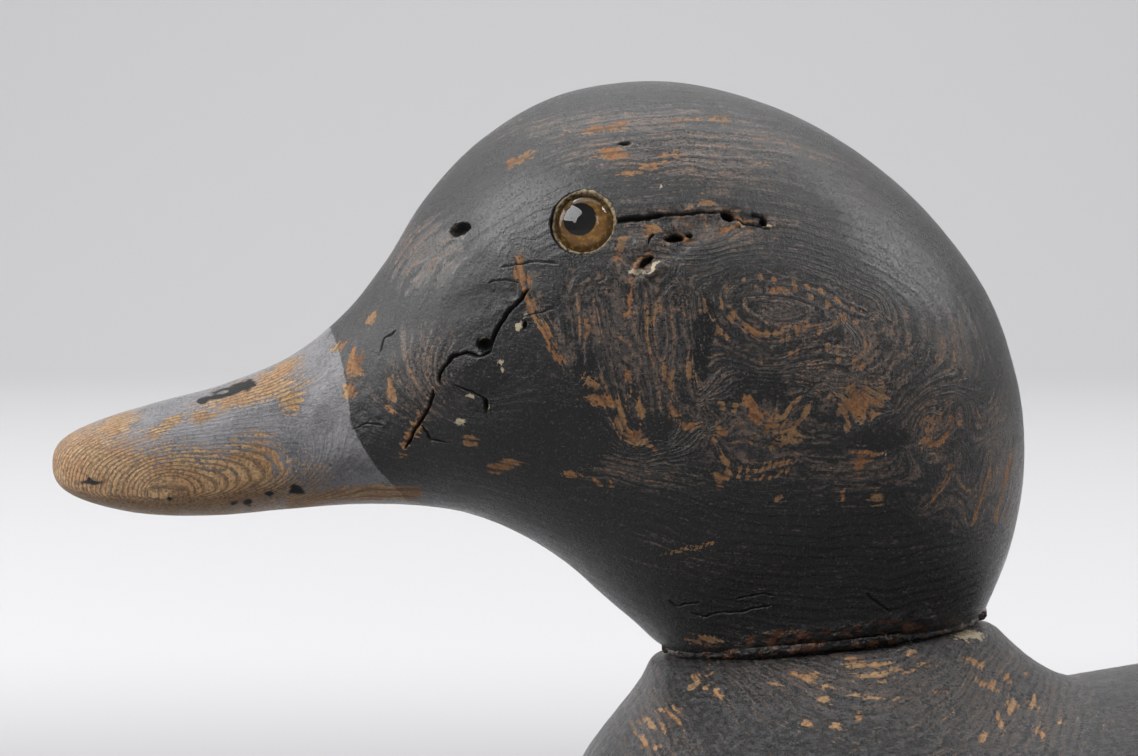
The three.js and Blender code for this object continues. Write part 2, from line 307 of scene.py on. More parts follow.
def camera_frame():
    """The camera's place, and its right, up and forward directions, in millimetres."""
    aim = np.array(
        [
            (PHOTO_WIDTH / 2 - ORIGIN_COLUMN) * PIXEL,
            0.0,
            (ORIGIN_ROW - PHOTO_HEIGHT / 2) * PIXEL,
        ]
    )
    right = np.array([1.0, 0.0, 0.0])
    forward = np.array([0.0, math.cos(CAMERA_ELEVATION), -math.sin(CAMERA_ELEVATION)])
    up = np.cross(right, forward)
    return aim - forward * CAMERA_DISTANCE, right, up, forward


def photo_pixels(points):
    """The pixel of the photograph at which the camera sees each point."""
    place, right, up, forward = camera_frame()
    seen = points - place
    scale = CAMERA_DISTANCE / PIXEL / (seen @ forward)
    return PHOTO_WIDTH / 2 + (seen @ right) * scale, PHOTO_HEIGHT / 2 - (seen @ up) * scale


def make_camera():
    place, right, up, forward = camera_frame()
    data = bpy.data.cameras.new("camera")
    data.sensor_width = SENSOR_WIDTH
    data.lens = SENSOR_WIDTH * CAMERA_DISTANCE / (PHOTO_WIDTH * PIXEL)
    data.clip_start = 0.05
    data.clip_end = 20.0
    camera = bpy.data.objects.new("camera", data)
    bpy.context.scene.collection.objects.link(camera)
    turn = Matrix((right, up, -forward)).transposed().to_4x4()
    camera.matrix_world = Matrix.Translation(Vector(place * MM)) @ turn
    bpy.context.scene.camera = camera


# Marks, in pixels of the photograph


def spots(px, py, rows):
    """How deep each pixel lies in the nearest of some oval spots: 1 at a centre, 0.5 on a rim, down to 0.
    A row is a spot's centre x and y, its half width and half height, and its tilt in degrees."""
    best = np.zeros(len(px))
    for x, y, half_width, half_height, tilt in rows:
        c, s = math.cos(math.radians(tilt)), math.sin(math.radians(tilt))
        u = ((px - x) * c + (py - y) * s) / half_width
        v = ((py - y) * c - (px - x) * s) / half_height
        best = np.maximum(best, 1 - np.hypot(u, v) / 2)
    return best


def line_distance(px, py, line):
    """The distance of each pixel from a bent line, how far along the line its nearest point is, 0 to 1,
    and which side of the line it is on, 1 or -1."""
    line = np.array(line, dtype=float)
    lengths = np.linalg.norm(np.diff(line, axis=0), axis=1)
    total = lengths.sum()
    best = np.full(len(px), 1e9)
    along = np.zeros(len(px))
    side = np.ones(len(px))
    run = 0.0
    for (x0, y0), (x1, y1), length in zip(line[:-1], line[1:], lengths):
        t = np.clip(((px - x0) * (x1 - x0) + (py - y0) * (y1 - y0)) / length**2, 0, 1)
        distance = np.hypot(px - x0 - t * (x1 - x0), py - y0 - t * (y1 - y0))
        nearer = distance < best
        best = np.where(nearer, distance, best)
        along = np.where(nearer, (run + t * length) / total, along)
        side = np.where(nearer, np.sign((x1 - x0) * (py - y0) - (y1 - y0) * (px - x0)), side)
        run += length
    return best, along, side


def strokes(px, py, rows):
    """Like spots, for bent lines: a row is a half width and the line's points."""
    best = np.zeros(len(px))
    for half_width, line in rows:
        distance, _, _ = line_distance(px, py, line)
        best = np.maximum(best, 1 - distance / half_width / 2)
    return best


# Bare wood on the bill: the worn tip and lower half, which both sides share.
BILL_BARE_BROAD = [
    (84, 470, 56, 44, 0),
    (170, 486, 128, 34, 2),
    (250, 470, 26, 30, 20),
]
BILL_BARE = [
    (255, 392, 45, 11, -14),
    (276, 374, 26, 8, -30),
    (290, 398, 12, 11, 20),
    (203, 417, 12, 6, -10),
    (164, 426, 22, 5, -25),
    (112, 425, 26, 9, -25),
    (356, 362, 9, 11, 40),
    (350, 392, 6, 8, 10),
    (338, 345, 8, 3, -30),
]
BILL_STRIP = [(7.5, [(292, 503), (330, 497), (370, 493), (412, 493)])]
BILL_DARK_SPOTS = [
    (268, 494, 6, 4, -10),
    (249, 505, 5, 5, 0),
    (233, 504, 5, 3, -20),
    (297, 490, 8, 5, 0),
    (91, 481, 15, 3, -8),
    (172, 499, 3, 2, 0),
]
BILL_TOP_STREAK = [(4.0, [(203, 398), (226, 391), (252, 383)])]
# Where the bill's grey paint ends and the head's black begins.
BILL_BORDER = [(318, 300), (337, 345), (346, 385), (351, 425), (363, 448), (378, 470), (400, 493), (420, 520)]

# Bare wood on the head
HEAD_BARE = [
    (390, 390, 4, 17, -5),
    (467, 440, 7, 5, 20),
    (413, 432, 4, 22, 28),
    (505, 467, 14, 5, -10),
    (574, 476, 11, 3, 4),
    (597, 483, 6, 3, 10),
    (612, 487, 4, 2, 0),
    (605, 402, 20, 7, 15),
    (590, 384, 8, 5, 60),
    (641, 407, 4, 13, 0),
    (621, 424, 4, 13, -5),
    (636, 437, 10, 8, 30),
    (649, 447, 4, 8, -30),
    (672, 412, 9, 6, 0),
    (690, 425, 12, 4, 10),
    (784, 441, 18, 6, -10),
    (752, 443, 4, 3, 0),
    (724, 433, 7, 4, 20),
    (720, 477, 10, 4, 45),
    (848, 406, 6, 15, -30),
    (859, 402, 8, 18, -25),
    (872, 400, 6, 14, -15),
    (882, 396, 6, 10, 10),
    (843, 494, 3, 4, 0),
    (876, 500, 7, 5, 0),
    (778, 501, 6, 3, -20),
    (861, 461, 6, 12, 15),
    (870, 455, 16, 4, -5),
    (934, 442, 12, 4, -12),
    (932, 420, 12, 3, -8),
    (653, 229, 10, 4, -8),
    (704, 202, 10, 3, 10),
    (738, 217, 9, 5, 35),
    (728, 228, 10, 2, 0),
    (644, 260, 10, 5, -38),
    (620, 244, 3, 12, 8),
    (688, 237, 4, 3, 0),
    (673, 157, 11, 4, 0),
    (612, 154, 18, 7, 0),
    (600, 127, 30, 3, -12),
    (640, 170, 20, 3, -5),
    (700, 118, 26, 2.5, 0),
    (520, 158, 14, 3, -32),
    (705, 640, 14, 5, 10),
    (371, 318, 7, 4, -40),
    (352, 357, 5, 9, 30),
    (520, 272, 4.5, 18, -12),
    (527, 300, 4.5, 20, -18),
    (545, 332, 4, 16, -24),
    (560, 358, 3, 14, -24),
    (628, 300, 3, 16, 6),
    (648, 330, 3, 22, -4),
    (668, 376, 3, 16, -6),
    (690, 372, 3, 14, -10),
    (628, 382, 3, 14, -8),
    (586, 330, 2.5, 12, -10),
]
HEAD_BARE_LINES = [
    (2.0, [(714, 404), (743, 410), (766, 424), (783, 421), (792, 405), (802, 399)]),
    (1.6, [(742, 398), (756, 408), (768, 412)]),
    (2.4, [(764, 431), (780, 430), (796, 425), (806, 414), (809, 406)]),
    (1.7, [(713, 440), (718, 452), (726, 463), (740, 469), (761, 468), (789, 461)]),
    (1.4, [(722, 472), (736, 477), (756, 479), (774, 476), (790, 469)]),
    (1.0, [(721, 291), (738, 279), (760, 277), (792, 281), (824, 291), (846, 304), (862, 311)]),
    (1.1, [(721, 291), (722, 306), (736, 322), (757, 334), (780, 339), (806, 335), (828, 326), (846, 318)]),
    (0.9, [(740, 294), (732, 304), (736, 316), (750, 324)]),
    (0.8, [(748, 330), (776, 334), (800, 330), (812, 322)]),
    (0.8, [(770, 291), (796, 289), (816, 296), (832, 306)]),
    (1.0, [(704, 303), (714, 326), (735, 349), (760, 363), (780, 362), (800, 350), (822, 345), (846, 350)]),
    (0.9, [(700, 290), (712, 320), (730, 340)]),
    (0.9, [(814, 362), (834, 358), (856, 362), (876, 374)]),
    (1.4, [(840, 398), (848, 410), (853, 424)]),
    (1.4, [(852, 392), (862, 404), (868, 416)]),
    (1.3, [(866, 388), (876, 396), (884, 402)]),
    (1.2, [(838, 412), (846, 420), (849, 430)]),
    (1.3, [(996, 520), (1005, 488), (1012, 452)]),
    (1.1, [(975, 520), (985, 490), (990, 470)]),
    (1.3, [(928, 506), (944, 484), (952, 462)]),
    (1.2, [(924, 446), (938, 444), (950, 430), (954, 412)]),
    (1.0, [(922, 430), (934, 428), (943, 416)]),
    (1.2, [(660, 556), (690, 549), (712, 544)]),
]
# Thin brown film, where the black is nearly through
HEAD_FILM = [
    (655, 352, 54, 66, 0),
    (618, 330, 26, 58, 0),
    (700, 372, 26, 44, 0),
    (420, 372, 27, 34, 25),
    (425, 252, 30, 24, -25),
    (524, 274, 9, 24, -20),
    (538, 306, 7, 22, -22),
    (560, 342, 7, 36, -22),
    (598, 346, 8, 48, -8),
    (574, 306, 7, 30, -10),
    (790, 318, 84, 34, 4),
    (870, 350, 52, 44, 30),
    (840, 382, 74, 20, 15),
    (760, 430, 60, 34, 5),
    (712, 158, 62, 28, 8),
    (622, 152, 48, 14, 0),
    (620, 122, 80, 9, -4),
    (790, 150, 60, 12, 22),
    (710, 226, 70, 20, 6),
    (860, 470, 40, 20, 0),
    (935, 425, 28, 44, 10),
    (1000, 470, 20, 76, -8),
    (960, 520, 40, 44, -20),
    (690, 550, 44, 18, -10),
    (640, 245, 34, 22, -20),
    (620, 470, 60, 12, 8),
    (860, 200, 50, 12, 35),
    (950, 340, 20, 50, -20),
]
# Glossy black that is whole: the film and the wear stay out of it
HEAD_SOUND = [
    (762, 388, 24, 16, 0),
    (560, 440, 50, 34, 0),
    (830, 566, 190, 56, 0),
    (880, 440, 30, 12, 0),
    (480, 375, 22, 18, 0),
    (704, 340, 9, 40, 8),
    (585, 372, 14, 20, 0),
    (655, 430, 16, 14, 0),
    (540, 220, 60, 50, 0),
    (900, 254, 74, 34, 50),
    (830, 184, 50, 16, 32),
]
# Cracks: half width and depth in pixels, and the line
CRACKS = [
    (1.5, 8.0, [(530, 290), (520, 301), (510, 310), (505, 319), (499, 326), (492, 341), (489, 352), (480, 356)]),
    (1.4, 7.0, [(480, 356), (466, 353), (453, 357), (444, 367), (439, 379), (440, 385)]),
    (1.3, 6.0, [(433, 391), (429, 405), (422, 418), (415, 428), (406, 449)]),
    (0.8, 4.0, [(417, 424), (427, 433), (432, 440), (447, 444)]),
    (0.8, 4.0, [(453, 384), (468, 392), (482, 397), (485, 415)]),
    (1.1, 5.0, [(612, 219), (640, 217.5), (662, 214), (690, 213), (722, 211)]),
    (2.0, 6.0, [(604, 220), (622, 219.5), (642, 218), (664, 214.5)]),
    (1.2, 5.0, [(752, 213), (764, 217), (768, 225)]),
    (0.9, 4.0, [(648, 243), (651, 236), (655, 232)]),
    (1.0, 4.0, [(722, 212), (745, 222), (771, 228)]),
    (0.8, 3.5, [(690, 613), (702, 618), (716, 614), (742, 612), (772, 606)]),
    (0.7, 3.0, [(736, 600), (760, 595), (775, 597)]),
    (0.8, 3.0, [(668, 601), (676, 606), (700, 603)]),
    (0.8, 3.0, [(866, 594), (876, 602), (892, 612)]),
    (0.7, 2.0, [(520, 318), (536, 313), (556, 309)]),
    (0.7, 2.0, [(500, 268), (530, 262), (560, 262)]),
    (0.7, 2.0, [(396, 330), (384, 340), (380, 352)]),
    (0.7, 2.0, [(352, 430), (366, 424), (384, 425)]),
    (0.7, 2.0, [(487, 283), (505, 280), (520, 283)]),
]
# Holes: a spot and its depth in pixels
HOLES = [
    (459, 229, 10.5, 5.5, -22, 12.0),
    (484, 345, 7, 6, 20, 12.0),
    (729, 215, 8, 4.5, 22, 12.0),
    (765, 221, 4, 4, 0, 8.0),
    (676, 237, 10, 4, -6, 13.0),
    (690, 235, 4, 3, 0, 8.0),
    (646, 261, 10, 3.5, -38, 9.0),
    (625, 144, 6, 1.8, 0, 6.0),
    (485, 405, 2.2, 6, 0, 6.0),
    (524, 326, 3, 4, 0, 5.0),
]
# Raised and sunken forms, in pixels: spot, height
LUMPS = [
    (478, 374, 22, 17, 0, 2.2),
    (480, 402, 26, 18, 10, -1.6),
    (652, 272, 16, 4, -38, 3.0),
    (686, 227, 70, 13, 2, -3.4),
    (742, 219, 26, 8, 20, -2.0),
    (668, 248, 34, 12, -30, -3.0),
    (737, 221, 5, 4, 30, 4.0),
    (689, 236, 5, 3, -30, 4.0),
    (639, 266, 7, 4, -38, 3.0),
    (935, 430, 18, 34, 12, -2.0),
    (860, 405, 24, 18, -20, -1.4),
    (420, 372, 26, 34, 25, 1.6),
    (480, 300, 30, 12, -20, -1.2),
    (620, 410, 30, 24, 20, -1.4),
]
# Lumpy, flaked paint
ROUGH = [
    (479, 403, 26, 17, 10),
    (535, 312, 22, 16, 0),
    (500, 300, 26, 12, -25),
    (372, 405, 24, 44, 0),
    (700, 236, 40, 14, 0),
    (650, 440, 40, 16, 0),
]
CREAM = [
    (519, 328, 4, 5, 0),
    (525, 317, 4, 2.5, -20),
    (502, 370, 3, 5, 0),
    (497, 361, 4, 3, 0),
    (489, 404, 2.5, 4, 0),
    (458, 420, 5, 2.5, 10),
    (479, 340, 4, 4, 0),
    (468, 396, 4, 2, 20),
    (637, 272, 9, 2.5, -5),
    (654, 266, 9, 2.2, -40),
    (744, 223, 6, 2, 20),
    (768, 226, 4, 2, 0),
    (865, 455, 4, 2, 0),
    (887, 457, 3, 2, 0),
    (859, 347, 3, 2, 0),
    (660, 187, 5, 2, 0),
]
# Dark resin smeared up from the joint, and the lumps that it set into
HEAD_RESIN = [(9.0, [(745, 645), (775, 642), (800, 640), (850, 634), (895, 626), (930, 622)])]

# Lines that the growth rings run along, with their reach to either side
RING_GUIDES = [
    (26, [(598, 300), (606, 340), (618, 386), (630, 430)]),
    (24, [(640, 286), (646, 330), (654, 380), (662, 424)]),
    (20, [(684, 300), (690, 340), (694, 380), (700, 412)]),
    (18, [(828, 326), (806, 335), (780, 339), (757, 334), (736, 322), (722, 306), (721, 291), (738, 279), (760, 277),
          (792, 281), (824, 291), (846, 304), (866, 311)]),
    (12, [(704, 303), (714, 326), (735, 349), (760, 363), (780, 362), (800, 350), (822, 345), (846, 350)]),
    (14, [(714, 404), (743, 410), (766, 424), (783, 421), (792, 405), (802, 399)]),
    (12, [(713, 440), (718, 452), (726, 463), (740, 469), (761, 468), (789, 461)]),
    (16, [(922, 446), (938, 443), (952, 428), (955, 408)]),
    (14, [(840, 398), (848, 410), (853, 424)]),
    (12, [(866, 388), (876, 396), (884, 402)]),
    (12, [(922, 506), (944, 484), (956, 458)]),
    (14, [(975, 520), (986, 488), (992, 452)]),
    (12, [(1000, 520), (1009, 488), (1013, 440)]),
    (14, [(514, 256), (524, 290), (545, 334), (566, 370)]),
]
RING_GUIDE_SPACING = 7.0


# Fields that the relief and the paint share


def ring_phase(points, px, py, seed):
    """How many growth rings lie between the surface and the middle of the cheek or of the bill's side."""
    x, y, z = points.T
    cheek_depth = 42.3 - np.abs(y) - 0.12 * x - 0.11 * z
    cheek = np.sqrt(np.maximum(cheek_depth, 0) + 0.03 * (z - 78.5) ** 2 + 0.02) / 0.3
    bill_depth = 13.95 - np.abs(y)
    bill = np.sqrt(np.maximum(bill_depth, 0) + 0.004 * (z - 51.2) ** 2 + 0.003) / 0.115
    on_bill = 1 - smoothstep(x, -52, -36)
    phase = cheek * (1 - on_bill) + bill * on_bill
    swirls = ((935, 425, 24, 38, 4.5), (764, 400, 44, 26, 3.0), (478, 378, 46, 40, -4.0), (700, 236, 44, 20, 2.5))
    for centre_x, centre_y, half_width, half_height, rings in swirls:
        reach = ((px - centre_x) / half_width) ** 2 + ((py - centre_y) / half_height) ** 2
        phase = phase + rings * np.exp(-reach) * (1 - on_bill)
    for reach, line in RING_GUIDES:
        distance, _, side = line_distance(px, py, line)
        weight = np.exp(-((distance / reach) ** 2))
        level = (phase * weight**4).sum() / (weight**4).sum()
        phase = phase + weight * (level + side * distance / RING_GUIDE_SPACING - phase)
    wobble = 0.8 * lattice_noise(points * [0.6, 1, 1], 13.0, seed) + 0.35 * lattice_noise(points, 5.0, seed + 1)
    return phase + wobble * (1 - 0.7 * on_bill)


def ragged_pixels(points, px, py, seed):
    """The pixels pushed about a little, so that marks drawn with them get ragged edges."""
    across = 4.5 * lattice_noise(points, 1.9, seed) + 2.5 * lattice_noise(points, 0.8, seed + 1)
    down = 3.5 * lattice_noise(points, 1.7, seed + 2) + 2.5 * lattice_noise(points, 0.8, seed + 3)
    return px + across, py + down


def head_marks(points, px, py, left):
    """The paint's state at each point of the head, as named fields from 0 to 1."""
    border, _, _ = line_distance(px, py, BILL_BORDER)
    line = np.array(BILL_BORDER, dtype=float)
    beyond = px > np.interp(py, line[:, 1], line[:, 0])
    grey = np.where(beyond, 0.5 - border / 24, 0.5 + border / 24)
    broad = lattice_noise(points, 17.0, 11)
    rx, ry = ragged_pixels(points, px, py, 200)
    bill_bare = np.maximum(spots(rx, ry, BILL_BARE_BROAD), strokes(rx, py, BILL_STRIP))
    bill_bare = bill_bare * np.where(beyond & (py < 486), 0, 1)
    lines = strokes((2 * px + rx) / 3, (2 * py + ry) / 3, HEAD_BARE_LINES)
    details = np.maximum(spots(rx, ry, BILL_BARE), 1.7 * lines - 0.35)
    details = np.maximum(details, spots(rx, ry, HEAD_BARE))
    plain = 0.2 + 0.16 * layered_noise(points, 11.0, 21)
    film = spots(rx, ry, HEAD_FILM)
    sound = smoothstep(spots(rx, ry, HEAD_SOUND), 0.35, 0.6)
    film = film * (1 - 0.8 * sound)
    film = np.where(left, film, np.clip(0.85 * film + 0.2 * broad, 0, 1))
    bare = np.maximum(bill_bare, np.where(left, np.maximum(details, 0.26 * smoothstep(film, 0.3, 0.6)), plain))
    cream = np.where(left, spots(rx, ry, CREAM), 0)
    # Dark spots and a streak on the bill; further down, the same field also takes the painted shade in the cracks,
    # holes and eye sockets.
    dirt_and_recess_shade = np.maximum(spots(rx, ry, BILL_DARK_SPOTS), strokes(rx, ry, BILL_TOP_STREAK)) * left
    foot = 1 - smoothstep((points - FOOT_CENTRE) @ FOOT_UP, 1.0, 9.0)
    upright = np.exp(-(((px - 610) / 95) ** 2) - ((py - 370) / 80) ** 2)
    return {
        "grey": np.clip(grey, 0, 1),
        "bare": np.clip(bare, 0, 1.4),
        "film": np.clip(film, 0, 1),
        "cream": cream,
        "dirt_and_recess_shade": dirt_and_recess_shade,
        "sound": np.maximum(sound, foot),
        "upright": upright,
        "resin": strokes(rx, ry, HEAD_RESIN) * left,
    }


def head_relief(points, px, py, left):
    """The head's relief in millimetres, out of the wood where positive, and how dark its cracks and holes are
    painted, as painted shade in these recesses.
    """
    relief = -0.12 + 0.09 * layered_noise(points, 15.0, 31, 2)
    dirt_and_recess_shade = np.zeros(len(points))
    across = 1.1 * lattice_noise(points, 0.8, 41) + 1.2 * lattice_noise(points, 2.2, 42)
    down = 1.1 * lattice_noise(points, 0.8, 43) + 1.2 * lattice_noise(points, 2.2, 44)
    jx, jy = px + across, py + down
    for half_width, depth, line in CRACKS:
        distance, along, _ = line_distance(jx, jy, line)
        taper = np.clip(np.minimum(along, 1 - along) * 8 + 0.35, 0, 1)
        cut = np.clip(1 - distance / (half_width * 1.5 * taper + 0.2), 0, 1) * left
        lip = np.exp(-((distance / (half_width * 3)) ** 2)) * left
        relief = relief - cut * depth * PIXEL * taper + 0.05 * lip
        # Darkens the crack's cut almost to black: painted shade in the crack.
        dirt_and_recess_shade = np.maximum(dirt_and_recess_shade, np.clip(cut * 1.7, 0, 1))
    for x, y, half_width, half_height, tilt, depth in HOLES:
        inside = spots(jx, jy, [(x, y, half_width, half_height, tilt)]) * left
        pit = smoothstep(inside, 0.42, 0.72)
        relief = relief - pit * depth * PIXEL
        # Darkens the hole's inside almost to black: painted shade in the hole.
        dirt_and_recess_shade = np.maximum(dirt_and_recess_shade, smoothstep(inside, 0.46, 0.62))
    for x, y, half_width, half_height, tilt, height in LUMPS:
        inside = spots(px, py, [(x, y, half_width, half_height, tilt)]) * left
        relief = relief + smoothstep(inside, 0.2, 0.75) * height * PIXEL
    smeared = smoothstep(strokes(px, py, HEAD_RESIN), 0.25, 0.6) * left
    relief = relief + smeared * (0.12 + 0.22 * lattice_noise(points, 1.6, 48) + 0.1 * lattice_noise(points, 0.7, 49))
    flaked = smoothstep(spots(px, py, ROUGH), 0.3, 0.6) * left
    relief = relief + flaked * (0.1 * lattice_noise(points, 1.1, 45) + 0.08 * lattice_noise(points, 0.6, 46))
    relief = relief + 0.02 * lattice_noise(points, 1.4, 47)
    return relief, dirt_and_recess_shade


# Meshes


def refine(mesh_data, at, share, wanted, levels):
    """Splits the wanted faces of a mesh in four, levels times, with each corner's at and share."""
    mesh = bmesh.new()
    mesh.from_mesh(mesh_data)
    at_layer = mesh.verts.layers.float.new("at")
    share_layer = mesh.verts.layers.float.new("share")
    mesh.verts.ensure_lookup_table()
    for vert in mesh.verts:
        vert[at_layer] = at[vert.index]
        vert[share_layer] = share[vert.index]
    mesh.faces.ensure_lookup_table()
    flag = mesh.faces.layers.int.new("wanted")
    for index in wanted:
        mesh.faces[index][flag] = 1
    for _ in range(levels):
        edges = {edge for face in mesh.faces if face[flag] for edge in face.edges}
        bmesh.ops.subdivide_edges(mesh, edges=list(edges), cuts=1, use_grid_fill=True)
    crowded = [face for face in mesh.faces if len(face.verts) > 4]
    bmesh.ops.triangulate(mesh, faces=crowded)
    mesh.verts.index_update()
    at = np.array([vert[at_layer] for vert in mesh.verts])
    share = np.array([vert[share_layer] for vert in mesh.verts])
    mesh.faces.layers.int.remove(flag)
    mesh.verts.layers.float.remove(mesh.verts.layers.float["at"])
    mesh.verts.layers.float.remove(mesh.verts.layers.float["share"])
    mesh.to_mesh(mesh_data)
    mesh.free()
    return at, share


def vertex_places(mesh_data):
    places = np.empty(len(mesh_data.vertices) * 3)
    mesh_data.vertices.foreach_get("co", places)
    return places.reshape(-1, 3)


def vertex_normals(mesh_data):
    normals = np.empty(len(mesh_data.vertices) * 3)
    mesh_data.vertex_normals.foreach_get("vector", normals)
    return normals.reshape(-1, 3)


def set_places(mesh_data, places):
    mesh_data.vertices.foreach_set("co", np.ascontiguousarray(places, dtype=np.float32).ravel())
    mesh_data.update()


def add_field(mesh_data, name, values):
    attribute = mesh_data.attributes.new(name, "FLOAT", "POINT")
    attribute.data.foreach_set("value", np.ascontiguousarray(values, dtype=np.float32))


def add_piece(name, mesh_data, materials):
    """Links a mesh that is in millimetres as a smooth piece that rides on the root body."""
    mesh_data.transform(Matrix.Scale(MM, 4))
    mesh_data.polygons.foreach_set("use_smooth", [True] * len(mesh_data.polygons))
    for material in materials:
        mesh_data.materials.append(material)
    piece = bpy.data.objects.new(name, mesh_data)
    bpy.context.scene.collection.objects.link(piece)
    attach(piece, "root")
    return piece


def grid_faces(rows, columns):
    """The faces of a grid of points whose columns close round, row after row."""
    first = np.arange(rows - 1)[:, None] * columns
    here = np.arange(columns)[None, :]
    after = (here + 1) % columns
    corners = [first + here, first + after, first + columns + after, first + columns + here]
    return np.stack([np.broadcast_to(c, (rows - 1, columns)) for c in corners], axis=-1).reshape(-1, 4)


def columns_round(right, left):
    """Shares of a turn, right ones over the first half and left ones over the second."""
    return np.concatenate([np.arange(right) / right / 2, 0.5 + np.arange(left) / left / 2])


def even_rows(count):
    """Places along the stations, evenly spaced along the wood."""
    fine = np.linspace(0.02, LAST_STATION, 2000)
    steps = np.zeros(len(fine) - 1)
    for share in (0.5, 0.75, 0.75):
        line = head_points(fine, np.full(len(fine), share))
        steps += np.linalg.norm(np.diff(line, axis=0), axis=1)
    run = np.concatenate([[0], np.cumsum(steps)])
    return np.interp(np.linspace(0, run[-1], count), run, fine)


def eye_frame(side):
    """The eye's axis, and the top of its dome."""
    level = math.cos(EYE_UPWARD)
    axis = np.array([-math.sin(EYE_FORWARD) * level, side * math.cos(EYE_FORWARD) * level, math.sin(EYE_UPWARD)])
    return axis, np.array([EYE_IN_WOOD[0], side * EYE_IN_WOOD[1], EYE_IN_WOOD[2]]) + axis * EYE_PROUD


def sink_sockets(points, dirt_and_recess_shade):
    """Pushes the wood in under each eye, along the eye's axis, to leave its socket, and darkens the socket's rim as
    painted shade.
    """
    for side in (-1, 1):
        axis, top = eye_frame(side)
        offset = points - top
        height = offset @ axis
        ragged = 0.12 * lattice_noise(points, 1.1, 51)
        radius = np.linalg.norm(offset - height[:, None] * axis, axis=1) + ragged
        near = (radius < 3 * SOCKET_RADIUS) & (points[:, 1] * side > 0)
        floor = -EYE_DOME - EYE_RIM - EYE_BACK - FIT_GAP
        inside = (1 - smoothstep(radius, SOCKET_RADIUS - 0.1, SOCKET_RADIUS + 0.22)) * near
        points = points + (inside * np.minimum(floor - height, 0))[:, None] * axis
        # Darkens the socket and a thin ring round it: painted shade in the gap round the eye.
        dirt_and_recess_shade = np.maximum(dirt_and_recess_shade, (1 - smoothstep(radius, SOCKET_RADIUS, SOCKET_RADIUS + 0.4)) * near)
    return points, dirt_and_recess_shade


def faces_to_refine(px, py, points, faces):
    """The faces near the cracks, the holes and the eyes, which need a finer mesh."""
    near = np.full(len(px), 1e9)
    for half_width, _, line in CRACKS:
        distance, _, _ = line_distance(px, py, line)
        near = np.minimum(near, distance - 3 * half_width)
    for x, y, half_width, half_height, _, _ in HOLES:
        near = np.minimum(near, np.hypot(px - x, py - y) - max(half_width, half_height))
    close = (near < REFINED_MARGIN) & (points[:, 1] < 0)
    for side in (-1, 1):
        axis, top = eye_frame(side)
        offset = points - top
        radius = np.linalg.norm(offset - (offset @ axis)[:, None] * axis, axis=1)
        close |= (np.abs(radius - SOCKET_RADIUS) < 1.3) & (points[:, 1] * side > 0)
    return np.flatnonzero(close[faces].any(axis=1))


def make_head(materials):
    shares = columns_round(RIGHT_COLUMNS, LEFT_COLUMNS)
    columns = len(shares)
    rows = even_rows(HEAD_ROWS)
    ends = bevel_start(shares)
    at = np.tile(rows[:, None], (1, columns))
    beyond = (rows[:, None] - EVEN_STATIONS) / (LAST_STATION - EVEN_STATIONS)
    at = np.where(beyond > 0, EVEN_STATIONS + beyond * (ends - EVEN_STATIONS), at)
    at[0] = rows[0]
    share = np.tile(shares, (HEAD_ROWS, 1))
    points = head_points(at.ravel(), share.ravel())
    faces = grid_faces(HEAD_ROWS, columns)
    mesh_data = bpy.data.meshes.new("head_wood")
    mesh_data.from_pydata(points.tolist(), [], faces.tolist())
    px, py = photo_pixels(points)
    last_column = faces[:, 0] % columns == columns - 1
    wanted = faces_to_refine(px, py, points, faces)
    wanted = wanted[~last_column[wanted]]
    at, share = refine(mesh_data, at.ravel(), share.ravel(), wanted.tolist(), 2)
    points = head_points(at, share)
    set_places(mesh_data, points)
    normals = vertex_normals(mesh_data)
    px, py = photo_pixels(points * [1, -1, 1] * np.where(points[:, 1:2] > 0, 1, [1, -1, 1]))
    left = points[:, 1] <= 0
    relief, dirt_and_recess_shade = head_relief(points, px, py, left)
    fields = head_marks(points, px, py, left)
    fields["rings"] = ring_phase(points, px, py, 61)
    moved, dirt_and_recess_shade = sink_sockets(points + normals * relief[:, None], dirt_and_recess_shade)
    # The darkened field joins the bill's dark spots with the painted shade in the cracks, holes and sockets.
    fields["dirt_and_recess_shade"] = np.maximum(fields["dirt_and_recess_shade"], dirt_and_recess_shade)
    set_places(mesh_data, moved)
    close_head(mesh_data, columns, shares)
    for name, values in fields.items():
        extra = len(mesh_data.vertices) - len(values)
        add_field(mesh_data, name, np.concatenate([values, np.full(extra, values[-1])]))
    head = add_piece("head_wood", mesh_data, materials)
    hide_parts("head")


def close_head(mesh_data, columns, shares):
    """Closes the tip of the bill, and adds the bevel and the flat of the neck's foot."""
    mesh = bmesh.new()
    mesh.from_mesh(mesh_data)
    mesh.verts.ensure_lookup_table()
    tip = mesh.verts[:columns]
    mesh.faces.new(tip[::-1])
    open_edges = [edge for edge in mesh.edges if edge.is_boundary]
    grown = bmesh.ops.extrude_edge_only(mesh, edges=open_edges)["geom"]
    foot = [item for item in grown if isinstance(item, bmesh.types.BMVert)]
    for vert in foot:
        place = np.array(vert.co) - FOOT_CENTRE
        height = place @ FOOT_UP
        inward = FOOT_UP * height - place
        inward = inward / np.linalg.norm(inward)
        vert.co = Vector(np.array(vert.co) - FOOT_UP * height + inward * BEVEL_DEPTH)
    rim = [item for item in grown if isinstance(item, bmesh.types.BMEdge)]
    bmesh.ops.contextual_create(mesh, geom=rim)
    bmesh.ops.recalc_face_normals(mesh, faces=mesh.faces)
    mesh.to_mesh(mesh_data)
    mesh.free()


